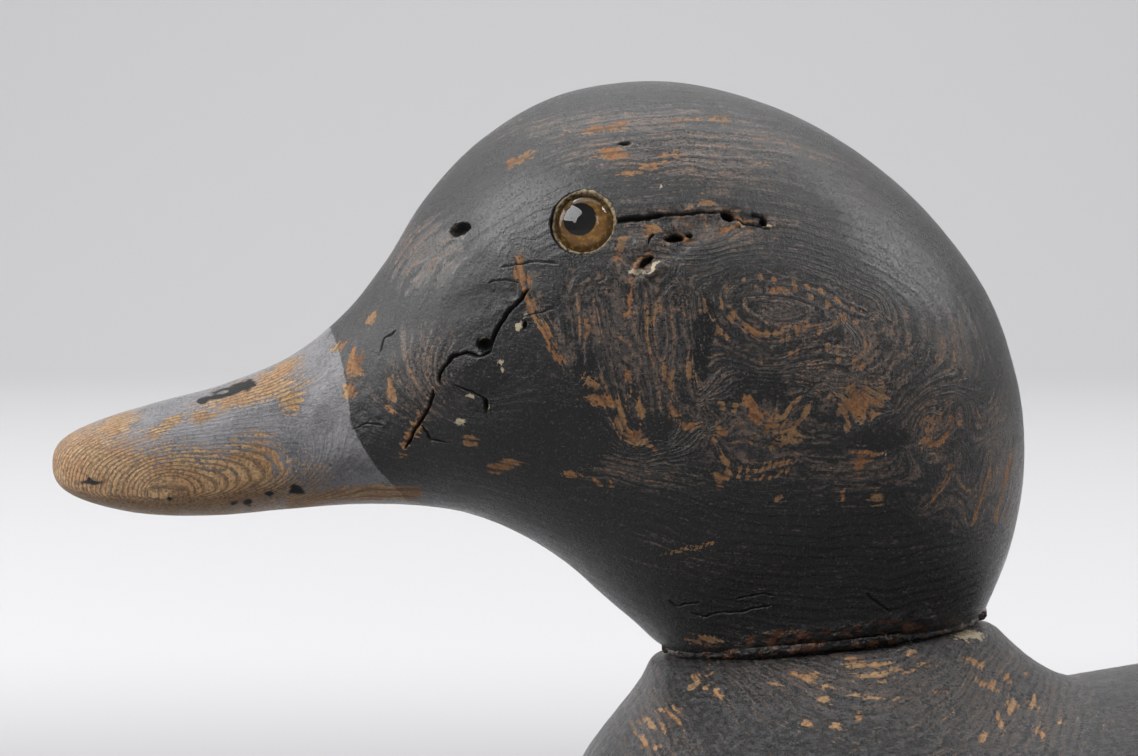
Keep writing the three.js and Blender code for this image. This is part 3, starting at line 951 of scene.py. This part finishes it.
# The body's marks
BODY_FILM = [
    (880, 684, 110, 40, 0),
    (990, 690, 50, 80, 0),
    (650, 722, 30, 50, -30),
    (800, 676, 60, 20, 5),
    (1050, 712, 36, 34, 30),
]
BODY_CREAM = [(970, 634, 17, 5, -6)]
BODY_BARE = [
    (697, 676, 4.8, 3.6, -20),
    (711, 675, 4, 2.2, -20),
    (692, 684, 6.4, 2.2, -25),
    (706, 687, 3.2, 2.2, 30),
    (717, 693, 3.2, 2.2, 0),
    (661, 708, 7.2, 2.2, -10),
    (670, 714, 2.4, 5.8, -40),
    (680, 722, 2.4, 6.5, -35),
    (648, 722, 9.6, 3.6, 30),
    (662, 728, 3.2, 5, -20),
    (640, 740, 8, 2.9, 45),
    (655, 748, 4.8, 2.9, 0),
    (676, 706, 2.4, 4.3, -30),
    (803, 676, 11.2, 4.3, 10),
    (776, 683, 11.2, 1.4, 5),
    (850, 660, 6.4, 3.6, -20),
    (868, 664, 24, 3.6, 2),
    (872, 676, 19.2, 2.9, 3),
    (905, 670, 16, 2.2, 0),
    (912, 654, 4.8, 3.6, 0),
    (930, 664, 9.6, 1.8, -8),
    (826, 688, 9.6, 1.8, 0),
    (824, 700, 8, 1.8, 0),
    (870, 695, 19.2, 1.4, 3),
    (892, 698, 9.6, 1.4, 0),
    (938, 690, 8, 1.8, -8),
    (952, 714, 5.6, 1.8, -10),
    (806, 724, 6.4, 2.9, 0),
    (836, 726, 4.8, 3.6, 0),
    (858, 716, 4, 4.3, 0),
    (990, 684, 9.6, 3.6, 20),
    (1008, 676, 4.8, 5.8, -30),
    (974, 660, 11.2, 3.6, 20),
    (1000, 720, 3.2, 11.5, -8),
    (1012, 702, 4, 7.2, -20),
    (1022, 672, 2.4, 3.6, -20),
    (1034, 700, 4, 9.4, -25),
    (1040, 730, 2.4, 8.6, -10),
    (1064, 722, 2.4, 3.6, -20),
    (984, 735, 4, 4.3, 0),
]
BODY_SHEEN = [(745, 704, 52, 46, -10)]


def body_marks(points, px, py, left):
    rx, ry = ragged_pixels(points, px, py, 300)
    film = spots(rx, ry, BODY_FILM)
    film = 0.7 * film + 0.12 * lattice_noise(points, 15.0, 71)
    plain = 0.13 + 0.2 * layered_noise(points * [0.5, 1, 1], 9.0, 72)
    bare = np.where(left, np.maximum(spots(rx, ry, BODY_BARE), plain * 0.9), plain)
    return {
        "grey": np.zeros(len(points)),
        "bare": np.clip(bare, 0, 1),
        "film": np.clip(film, 0, 1),
        "cream": spots(rx, ry, BODY_CREAM) * left,
        "dirt_and_recess_shade": np.zeros(len(points)),
        "sound": 0.5 * smoothstep(spots(px, py, BODY_SHEEN), 0.2, 0.7) * left,
        "upright": smoothstep(points[:, 0], 50.0, 62.0),
        "resin": np.zeros(len(points)),
    }


def body_rings(points):
    """The growth rings of the body's block: shells round a heart that lies above it."""
    x, _, z = points.T
    shells = np.hypot(x - 35.0, (z - 47.0) * 0.9) / 1.15
    return shells + 0.7 * lattice_noise(points, 9.0, 81) + 0.35 * lattice_noise(points, 3.0, 82)


def make_body(materials):
    shares = columns_round(BODY_RIGHT_COLUMNS, BODY_LEFT_COLUMNS)
    columns = len(shares)

    def kept(stretch):
        points = body_points(shares, stretch)
        return (points[:, 0] < BACK_X + TRIM) & (points[:, 2] > -TRIM)

    ends = last_true(np.ones(columns), np.full(columns, MOST_STRETCH), kept)
    out = np.linspace(0, 1, BODY_ROWS)[:, None] ** 1.15
    stretch = 1 + (ends - 1) * out
    stretch = np.vstack([np.full((1, columns), 0.9), np.full((1, columns), 0.985), stretch])
    rows = len(stretch)
    share = np.tile(shares, (rows, 1)).ravel()
    points = body_points(share, stretch.ravel())
    on_seat = stretch.ravel() < 1
    points[on_seat, 2] = seat_height(points[on_seat, 0])
    mesh_data = bpy.data.meshes.new("body_wood")
    mesh_data.from_pydata(points.tolist(), [], grid_faces(rows, columns)[:, ::-1].tolist())
    mesh_data.update()
    normals = vertex_normals(mesh_data)
    left = points[:, 1] <= 0
    px, py = photo_pixels(points * np.where(points[:, 1:2] > 0, [1, -1, 1], [1, 1, 1]))
    edge = np.abs(stretch.ravel() - 1) * SEAT_HALF_WIDTH
    relief = -0.2 + 0.1 * layered_noise(points, 14.0, 91, 2) + 0.05 * layered_noise(points, 1.8, 93, 2)
    relief = relief - 0.3 * np.exp(-((edge / 0.5) ** 2))
    relief = np.where(on_seat & (edge > 1), -0.02, relief)
    set_places(mesh_data, points + normals * relief[:, None])
    for name, values in body_marks(points, px, py, left).items():
        add_field(mesh_data, name, values)
    add_field(mesh_data, "rings", body_rings(points))
    saw_body(mesh_data)
    body = add_piece("body_wood", mesh_data, materials)
    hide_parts("body")


def saw_body(mesh_data):
    """Closes the seat, and saws the body flat behind and below."""
    mesh = bmesh.new()
    mesh.from_mesh(mesh_data)
    mesh.verts.ensure_lookup_table()
    seat_rim = [edge for edge in mesh.edges if edge.is_boundary and edge.verts[0].co.z > FOOT[1] - 2]
    seat_rim = [edge for edge in seat_rim if abs(edge.verts[0].co.x - SEAT_CENTRE) < SEAT_HALF_LENGTH]
    bmesh.ops.contextual_create(mesh, geom=seat_rim)
    for place, direction in (((BACK_X, 0, 0), (1, 0, 0)), ((0, 0, 0), (0, 0, -1))):
        everything = mesh.verts[:] + mesh.edges[:] + mesh.faces[:]
        cut = bmesh.ops.bisect_plane(
            mesh, geom=everything, dist=1e-4, plane_co=place, plane_no=direction, clear_outer=True
        )
        loose = [item for item in cut["geom_cut"] if isinstance(item, bmesh.types.BMEdge)]
        made = bmesh.ops.contextual_create(mesh, geom=loose)["faces"]
        for face in made:
            face.material_index = 1
            face.smooth = False
    bmesh.ops.recalc_face_normals(mesh, faces=mesh.faces)
    mesh.to_mesh(mesh_data)
    mesh.free()


def make_filler(material):
    """The bead of hardened resin in the bevel. It is full under the cheek and sunken elsewhere."""
    count = 900
    around = 18
    run = BEVEL_DEPTH / BEVEL_HEIGHT
    inner = BEVEL_DEPTH - FIT_GAP * math.hypot(run, 1)
    top = (inner - FILLER_RECESS) / run
    shares = np.arange(count) / count
    corners = np.array([(FILLER_UNDERCUT, 0), (FILLER_RECESS, FILLER_UNDERCUT), (FILLER_RECESS, top), (inner, 0)])
    path = np.vstack([corners, corners[:1]])
    run_along = np.concatenate([[0], np.cumsum(np.linalg.norm(np.diff(path, axis=0), axis=1))])
    stops = np.linspace(0, run_along[-1], around, endpoint=False)
    depths = np.interp(stops, run_along, path[:, 0])
    heights = np.interp(stops, run_along, path[:, 1])
    outer = bevel_points(shares, np.full(count, FILLER_RECESS), np.full(count, top / 2))
    column, _ = photo_pixels(outer)
    full = np.minimum(smoothstep(column, *RESIN_STARTS), 1 - smoothstep(column, *RESIN_ENDS))
    sunk = 0.85 * np.where(outer[:, 1] < 0, 1 - full, 0.5 + 0.5 * lattice_noise(outer, 8.0, 103))
    sunk = np.clip(sunk + 0.25 * lattice_noise(outer, 2.0, 104), 0, 0.9)
    grid = []
    for depth, height in zip(depths, heights):
        pushed = depth + (inner - depth) * sunk
        grid.append(bevel_points(shares, pushed, np.full(count, height)))
    points = np.stack(grid, axis=1).reshape(-1, 3)
    faces = grid_faces(count + 1, around)
    faces = faces % (count * around)
    mesh_data = bpy.data.meshes.new("neck_resin")
    mesh_data.from_pydata(points.tolist(), [], faces[:, ::-1].tolist())
    mesh_data.update()
    lumps = 0.12 * layered_noise(points, 2.0, 101) - 0.08
    set_places(mesh_data, points + vertex_normals(mesh_data) * lumps[:, None])
    filler = add_piece("neck_resin", mesh_data, [material])
    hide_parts("neck_filler")


def lathe(name, profile, sides, side, material, wobble=None):
    """A closed turned mesh on an eye's axis. The profile's rows are radius and height over the dome's top."""
    axis, top = eye_frame(side)
    across = np.cross(axis, [0.0, 0.0, 1.0])
    across = across / np.linalg.norm(across)
    upright = np.cross(across, axis)
    points = []
    for k in range(sides):
        angle = 2 * math.pi * k / sides
        outward = across * math.cos(angle) + upright * math.sin(angle)
        for radius, height in profile:
            if wobble:
                radius, height = wobble(angle, radius, height)
            points.append(top + outward * radius + axis * height)
    count = len(profile)
    mesh = bmesh.new()
    verts = [mesh.verts.new(p) for p in points]
    for k in range(sides):
        for j in range(count):
            a, b = k * count, ((k + 1) % sides) * count
            after = (j + 1) % count
            if j == count - 1 and not wobble:
                continue
            mesh.faces.new([verts[a + j], verts[a + after], verts[b + after], verts[b + j]])
    bmesh.ops.remove_doubles(mesh, verts=mesh.verts, dist=1e-4)
    bmesh.ops.recalc_face_normals(mesh, faces=mesh.faces)
    mesh_data = bpy.data.meshes.new(name)
    mesh.to_mesh(mesh_data)
    mesh.free()
    return add_piece(name, mesh_data, [material])


def make_eye(word, side, glass, iris, putty):
    ball = (EYE_RADIUS**2 + EYE_DOME**2) / (2 * EYE_DOME)
    dome_angle = math.asin(EYE_RADIUS / ball)
    back = -EYE_DOME - 0.5
    profile = [(0.0, back), (EYE_RADIUS - 0.25, back), (EYE_RADIUS - 0.02, back + 0.3)]
    steps = 18
    for k in range(steps + 1):
        angle = dome_angle * (1 - k / steps)
        profile.append((ball * math.sin(angle), ball * (math.cos(angle) - 1)))
    lens = lathe(f"eye_glass_{word}", profile, 72, side, glass)
    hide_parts(f"eye_{word}")

    cup = back + 0.05
    disc = [(0.0, cup - 0.9), (EYE_BACK_RADIUS, cup - 0.9), (EYE_RADIUS - 0.2, cup - 0.5), (EYE_RADIUS - 0.3, cup)]
    disc += [(EYE_RADIUS * k / 40, cup) for k in range(37, 0, -1)] + [(0.0, cup)]
    painted = lathe(f"eye_iris_{word}", disc, 72, side, iris)
    add_field(painted.data, "from_pupil", pupil_distance(painted.data, side))
    add_field(painted.data, "from_axis", axis_distance(painted.data, side))

    def ragged(angle, radius, height):
        turn = np.array([[math.cos(angle) * radius, math.sin(angle) * radius, height]])
        wide = lattice_noise(turn, 2.6, 111)[0]
        fine = lattice_noise(turn, 0.5, 112)[0]
        outer = (radius - EYE_RADIUS) / (SOCKET_RADIUS - EYE_RADIUS)
        thick = math.exp(-(((angle - PUTTY_THICK_AT) / 0.75) ** 2))
        spread = outer * (0.1 * wide + 0.22 * thick)
        return radius + 0.07 * fine + spread, height + 0.1 * fine + 0.14 * wide + 0.18 * thick * outer

    rim = -EYE_DOME
    bead = [
        (EYE_RADIUS - 0.02, rim - 0.9),
        (EYE_RADIUS + 0.02, rim - 0.25),
        (EYE_RADIUS + 0.12, rim + 0.12),
        (EYE_RADIUS + 0.24, rim + 0.28),
        (SOCKET_RADIUS + 0.02, rim + 0.3),
        (SOCKET_RADIUS + 0.16, rim + 0.1),
        (SOCKET_RADIUS + 0.1, rim - 0.9),
    ]
    ring = lathe(f"eye_putty_{word}", bead, 160, side, putty, ragged)


def axis_distance(mesh_data, side, aside=(0.0, 0.0, 0.0)):
    axis, top = eye_frame(side)
    offset = vertex_places(mesh_data) / MM - top - np.array(aside)
    return np.linalg.norm(offset - (offset @ axis)[:, None] * axis, axis=1)


def pupil_distance(mesh_data, side):
    return axis_distance(mesh_data, side, (-PUPIL_FORWARD, 0.0, PUPIL_UP))


# Materials


class Nodes:
    """A small hand for writing a material's nodes: inputs are sockets or plain values."""

    def __init__(self, name):
        self.material = bpy.data.materials.new(name)
        self.material.use_nodes = True
        self.tree = self.material.node_tree
        self.shader = self.tree.nodes["Principled BSDF"]

    def node(self, kind, inputs, output=0, **settings):
        node = self.tree.nodes.new(kind)
        for name, value in settings.items():
            setattr(node, name, value)
        for key, value in inputs.items():
            self.feed(node.inputs[key], value)
        return node.outputs[output]

    def feed(self, socket, value):
        if isinstance(value, bpy.types.NodeSocket):
            self.tree.links.new(value, socket)
        elif socket.type == "RGBA" and len(value) == 3:
            socket.default_value = (*value, 1)
        else:
            socket.default_value = value

    def set(self, name, value):
        self.feed(self.shader.inputs[name], value)

    def place(self):
        """The object's own coordinates, in millimetres."""
        own = self.node("ShaderNodeTexCoord", {}, "Object")
        return self.stretch(own, (1 / MM, 1 / MM, 1 / MM))

    def stretch(self, vector, by):
        return self.node("ShaderNodeVectorMath", {0: vector, 1: by}, operation="MULTIPLY")

    def field(self, name):
        return self.node("ShaderNodeAttribute", {}, "Fac", attribute_name=name)

    def noise(self, vector, scale, detail=3.0, roughness=0.55):
        inputs = {"Vector": vector, "Scale": scale, "Detail": detail, "Roughness": roughness}
        return self.node("ShaderNodeTexNoise", inputs, "Fac")

    def math(self, operation, a, b=0.0, clamp=False):
        return self.node("ShaderNodeMath", {0: a, 1: b}, operation=operation, use_clamp=clamp)

    def add(self, *terms):
        total = terms[0]
        for term in terms[1:]:
            total = self.math("ADD", total, term)
        return total

    def scaled(self, value, by, about=0.5):
        """A value's distance from about, times by."""
        return self.math("MULTIPLY", self.math("SUBTRACT", value, about), by)

    def step(self, value, low, high):
        inputs = {"Value": value, "From Min": low, "From Max": high}
        return self.node("ShaderNodeMapRange", inputs, interpolation_type="SMOOTHSTEP")

    def mix(self, share, a, b):
        inputs = {0: share, 6: a, 7: b}
        return self.node("ShaderNodeMix", inputs, 2, data_type="RGBA")

    def blend(self, share, a, b):
        inputs = {0: share, 2: a, 3: b}
        return self.node("ShaderNodeMix", inputs, 0, data_type="FLOAT")

    def combine(self, x, y, z):
        return self.node("ShaderNodeCombineXYZ", {"X": x, "Y": y, "Z": z})

    def bump(self, height):
        """Relief from a height in millimetres."""
        inputs = {"Height": height, "Distance": MM, "Strength": 1.0}
        self.set("Normal", self.node("ShaderNodeBump", inputs))


def painted_wood(name, orange, crumbly):
    """Black paint worn to a brown film and to bare wood. The bare wood is orange in part, from 0 to 1,
    and the paint is crumbly by a share."""
    n = Nodes(name)
    place = n.place()
    patches = n.noise(place, 0.24, 3)
    grit = n.noise(place, 2.2, 5, 0.7)
    level = n.noise(n.stretch(place, (0.15, 1, 1)), 2.8, 4, 0.7)
    plumb = n.noise(n.stretch(place, (1, 1, 0.15)), 2.8, 4, 0.7)
    fibre = n.blend(n.field("upright"), level, plumb)
    phase = n.add(n.field("rings"), n.scaled(patches, 0.5), n.scaled(fibre, 0.2))
    along = n.math("MULTIPLY", n.noise(place, 0.12, 2), 8.0)
    grain = n.noise(n.combine(n.math("MULTIPLY", phase, 3.2), along, 0.0), 1.0, 5, 0.7)
    late = n.step(n.math("COSINE", n.math("MULTIPLY", phase, 2 * math.pi)), 0.0, 0.95)
    lumps = n.noise(place, 0.9, 4, 0.6)
    ragged = n.add(n.scaled(grit, 0.12), n.scaled(patches, 0.1), n.scaled(lumps, crumbly))
    grey = n.step(n.add(n.field("grey"), ragged), 0.47, 0.53)

    edge = n.add(n.scaled(grain, 1.5), n.scaled(grit, 0.8), n.scaled(fibre, 0.9), n.scaled(late, -0.16))
    bare = n.step(n.add(n.field("bare"), edge), 0.48, 0.58)
    streaks = n.add(n.scaled(grain, 2.2), n.scaled(grit, 1.4), n.scaled(fibre, 1.6), n.scaled(late, -0.35))
    film = n.step(n.add(n.field("film"), n.scaled(patches, 0.5), streaks), 0.42, 0.82)
    cream = n.step(n.add(n.field("cream"), n.scaled(grit, 1.4)), 0.5, 0.6)
    # Dark spots on the bill, and painted shade in the cracks, holes and eye sockets.
    dirt_and_recess_shade = n.step(n.add(n.field("dirt_and_recess_shade"), n.scaled(grit, 0.3)), 0.4, 0.7)

    black = n.mix(patches, (0.0025, 0.0027, 0.0035), (0.009, 0.0085, 0.0088))
    # Grey on the tops of the crumbly paint's lumps: partly chalked paint, partly painted sheen.
    chalk_and_sheen = n.math("MULTIPLY", n.step(n.add(lumps, n.scaled(grit, 0.6)), 0.46, 0.62), crumbly)
    black = n.mix(chalk_and_sheen, black, (0.095, 0.092, 0.097))
    brown = n.mix(n.step(grain, 0.42, 0.62), (0.038, 0.033, 0.031), (0.13, 0.092, 0.07))
    brown = n.mix(n.step(grit, 0.36, 0.5), (0.006, 0.005, 0.005), brown)
    paint = n.mix(film, black, brown)
    worn_grey = n.add(n.scaled(grit, 1.5), n.scaled(patches, 1.6), n.scaled(fibre, 0.9), 0.5)
    paint = n.mix(grey, paint, n.mix(worn_grey, (0.08, 0.078, 0.086), (0.25, 0.24, 0.25)))
    rust = n.mix(n.step(patches, 0.4, 0.62), (0.34, 0.18, 0.07), (0.36, 0.15, 0.046))
    tan = n.mix(n.step(patches, 0.42, 0.6), (0.56, 0.345, 0.165), (0.5, 0.28, 0.125))
    early = n.mix(n.math("SUBTRACT", orange, grey, clamp=True), tan, rust)
    wood = n.mix(n.math("MULTIPLY", late, 0.6), early, (0.10, 0.05, 0.022))
    wood = n.mix(n.step(n.add(grit, n.scaled(grain, 0.5)), 0.34, 0.6), n.mix(0.7, wood, (0.03, 0.017, 0.01)), wood)
    colour = n.mix(bare, paint, wood)
    # Small light specks: partly dust, partly painted glints.
    dust_and_glint_specks = n.step(n.noise(place, 3.4, 2), 0.70, 0.75)
    colour = n.mix(n.math("MULTIPLY", dust_and_glint_specks, 0.5), colour, (0.22, 0.17, 0.12))
    # Raised crumbs lightened to grey: partly dust, partly painted glints.
    crumbs = n.step(n.noise(place, 2.4, 3, 0.6), 0.56, 0.7)
    colour = n.mix(n.math("MULTIPLY", crumbs, 0.3), colour, (0.14, 0.13, 0.125))
    colour = n.mix(cream, colour, (0.5, 0.41, 0.27))
    # Near-black colour for the dark field: painted shade in the recesses, and the bill's dark spots.
    colour = n.mix(dirt_and_recess_shade, colour, (0.004, 0.0035, 0.003))
    resin_share = n.step(n.add(n.field("resin"), n.scaled(grit, 0.6)), 0.42, 0.55)
    clots = n.step(n.noise(place, 0.5, 4, 0.6), 0.46, 0.62)
    amber = n.mix(clots, (0.004, 0.003, 0.0025), (0.085, 0.03, 0.009))
    colour = n.mix(resin_share, colour, amber)
    n.set("Base Color", colour)

    gloss = n.blend(n.field("sound"), 0.3, 0.25)
    rough = n.add(n.blend(bare, gloss, 0.65), n.scaled(grit, 0.5), n.scaled(patches, 0.3))
    rough = n.blend(resin_share, n.blend(dirt_and_recess_shade, rough, 0.8), 0.13)
    n.set("Roughness", n.math("MAXIMUM", rough, 0.12))
    n.set("Specular IOR Level", 0.6)

    calm = n.blend(n.field("sound"), 0.3 + 0.5 * crumbly, 0.16 + 0.5 * crumbly)
    texture = n.add(
        n.scaled(grain, 0.5),
        n.scaled(level, 0.4),
        n.scaled(plumb, 0.4),
        n.scaled(grit, 0.4),
    )
    marks = n.add(
        n.math("MULTIPLY", late, 0.03),
        n.math("MULTIPLY", bare, -0.07),
        n.math("MULTIPLY", film, -0.03),
        n.math("MULTIPLY", n.scaled(lumps, 0.7), n.add(resin_share, 1.3 * crumbly)),
        n.math("MULTIPLY", crumbs, 0.035),
    )
    n.bump(n.add(n.math("MULTIPLY", texture, n.math("MAXIMUM", calm, n.math("MULTIPLY", bare, 0.6))), marks))
    return n.material


def sawn_wood():
    n = Nodes("sawn_wood")
    place = n.place()
    saw = n.noise(n.stretch(place, (1, 1, 0.06)), 1.6, 3)
    grain = n.noise(n.stretch(place, (1, 0.2, 1)), 1.1, 4)
    colour = n.mix(grain, (0.2, 0.115, 0.055), (0.42, 0.27, 0.15))
    n.set("Base Color", n.mix(n.scaled(saw, 0.5, 0.2), colour, (0.16, 0.09, 0.045)))
    n.set("Roughness", n.add(n.scaled(grain, 0.2), 0.68))
    n.bump(n.add(n.scaled(saw, 0.1), n.scaled(grain, 0.08)))
    return n.material


def resin():
    n = Nodes("resin")
    place = n.place()
    clots = n.step(n.noise(place, 0.5, 4, 0.6), 0.46, 0.62)
    n.set("Base Color", n.mix(clots, (0.004, 0.003, 0.0025), (0.085, 0.03, 0.009)))
    n.set("Roughness", n.add(n.scaled(n.noise(place, 1.4, 3), 0.2), 0.12))
    n.bump(n.scaled(n.noise(place, 0.9, 4, 0.6), 0.7))
    return n.material


def clear_glass():
    n = Nodes("clear_glass")
    n.set("Base Color", (1.0, 0.95, 0.82))
    n.set("Roughness", 0.03)
    n.set("IOR", 1.5)
    n.set("Transmission Weight", 1.0)
    return n.material


def iris_paint():
    n = Nodes("iris_paint")
    radius = n.field("from_axis")
    place = n.place()
    threads = n.noise(place, 1.6, 4)
    amber = n.mix(n.step(radius, 2.2, 4.0), (0.2, 0.1, 0.022), (0.075, 0.04, 0.013))
    amber = n.mix(n.step(threads, 0.46, 0.7), amber, (0.36, 0.19, 0.045))
    pupil = n.step(n.add(n.field("from_pupil"), n.scaled(threads, 0.12)), 1.95, 2.12)
    n.set("Base Color", n.mix(pupil, (0.003, 0.003, 0.004), amber))
    n.set("Roughness", n.add(n.scaled(threads, 0.1), 0.6))
    n.set("Specular IOR Level", 0.15)
    return n.material


def old_putty():
    n = Nodes("old_putty")
    place = n.place()
    crumbs = n.noise(place, 1.7, 4, 0.65)
    light = n.mix(n.noise(place, 3.0, 3), (0.3, 0.21, 0.11), (0.56, 0.45, 0.28))
    n.set("Base Color", n.mix(n.step(crumbs, 0.34, 0.6), (0.03, 0.02, 0.012), light))
    n.set("Roughness", n.add(n.scaled(crumbs, 0.2), 0.75))
    n.bump(n.scaled(crumbs, 0.3))
    return n.material


def stage_painted_light_and_shade():
    n = Nodes("stage")
    far = n.node("ShaderNodeSeparateXYZ", {0: n.place()}, "Y")
    # Paler towards the backdrop: a brightness falloff painted into the floor's colour, painted light.
    shade = n.mix(n.step(far, 300.0, 1250.0), (0.48, 0.475, 0.485), (0.53, 0.528, 0.535))
    # Dark grey in front of the decoy: painted shade that keeps the floor's light off the decoy's black paint from
    # below.
    shade = n.mix(n.step(far, -150.0, 260.0), (0.18, 0.18, 0.185), shade)
    n.set("Base Color", shade)
    n.set("Roughness", n.add(n.scaled(n.noise(n.place(), 0.01, 2), 0.05), 0.9))
    return n.material


# Stage and light


def make_stage(material):
    """A floor that turns up into a backdrop far behind the decoy: dark grey in front of the decoy as painted shade,
    pale behind it and a little paler towards the backdrop as painted light.
    """
    half_width = 3.0
    front, bend, radius, height = -1.6, 1.3, 0.7, 2.6
    profile = [(front, 0.0), (bend, 0.0)]
    steps = 24
    for k in range(1, steps + 1):
        angle = math.pi / 2 * k / steps
        profile.append((bend + radius * math.sin(angle), radius * (1 - math.cos(angle))))
    profile.append((bend + radius, height))
    points = [(x, y, z) for y, z in profile for x in (-half_width, half_width)]
    faces = [(2 * k, 2 * k + 1, 2 * k + 3, 2 * k + 2) for k in range(len(profile) - 1)]
    mesh_data = bpy.data.meshes.new("stage")
    mesh_data.from_pydata(points, [], faces)
    mesh_data.polygons.foreach_set("use_smooth", [True] * len(faces))
    mesh_data.materials.append(material)
    stage = bpy.data.objects.new("stage", mesh_data)
    bpy.context.scene.collection.objects.link(stage)


def make_softbox(name, place, aim, width, height, power):
    data = bpy.data.lights.new(name, "AREA")
    data.shape = "RECTANGLE"
    data.size = width
    data.size_y = height
    data.energy = power
    lamp = bpy.data.objects.new(name, data)
    bpy.context.scene.collection.objects.link(lamp)
    lamp.location = place
    lamp.rotation_euler = (Vector(aim) - Vector(place)).to_track_quat("-Z", "Y").to_euler()


def make_lights():
    world = bpy.data.worlds.new("world")
    world.use_nodes = True
    world.node_tree.nodes["Background"].inputs["Color"].default_value = (0.95, 0.97, 1.0, 1)
    world.node_tree.nodes["Background"].inputs["Strength"].default_value = 0.19
    bpy.context.scene.world = world
    middle = (0.0, 0.0, 0.07)
    make_softbox("softbox_key", (-0.74, -0.32, 0.8), middle, 1.05, 0.85, 17.0)
    make_softbox("softbox_left", (-0.9, 0.42, 0.42), middle, 0.6, 0.6, 3.2)
    make_softbox("softbox_right", (0.82, 0.1, 0.7), middle, 0.3, 0.65, 6.6)
    make_softbox("softbox_low_right", (0.55, -0.75, 0.55), middle, 0.12, 0.5, 0.6)
    make_softbox("softbox_top", (0.05, 0.6, 1.05), middle, 1.3, 0.9, 4.8)
    make_softbox("backdrop_light", (0.0, 1.0, 1.6), (0.0, 1.9, 0.3), 1.6, 0.5, 18.0)
    bpy.context.scene.view_settings.view_transform = "Standard"


make_camera()
painted = painted_wood("painted_wood", 1.0, 0.0)
make_head([painted])
make_body([painted_wood("painted_wood_body", 0.4, 0.5), sawn_wood()])
make_filler(resin())
glass, iris, putty = clear_glass(), iris_paint(), old_putty()
for word, side in (("left", -1), ("right", 1)):
    make_eye(word, side, glass, iris, putty)
make_stage(stage_painted_light_and_shade())
make_lights()
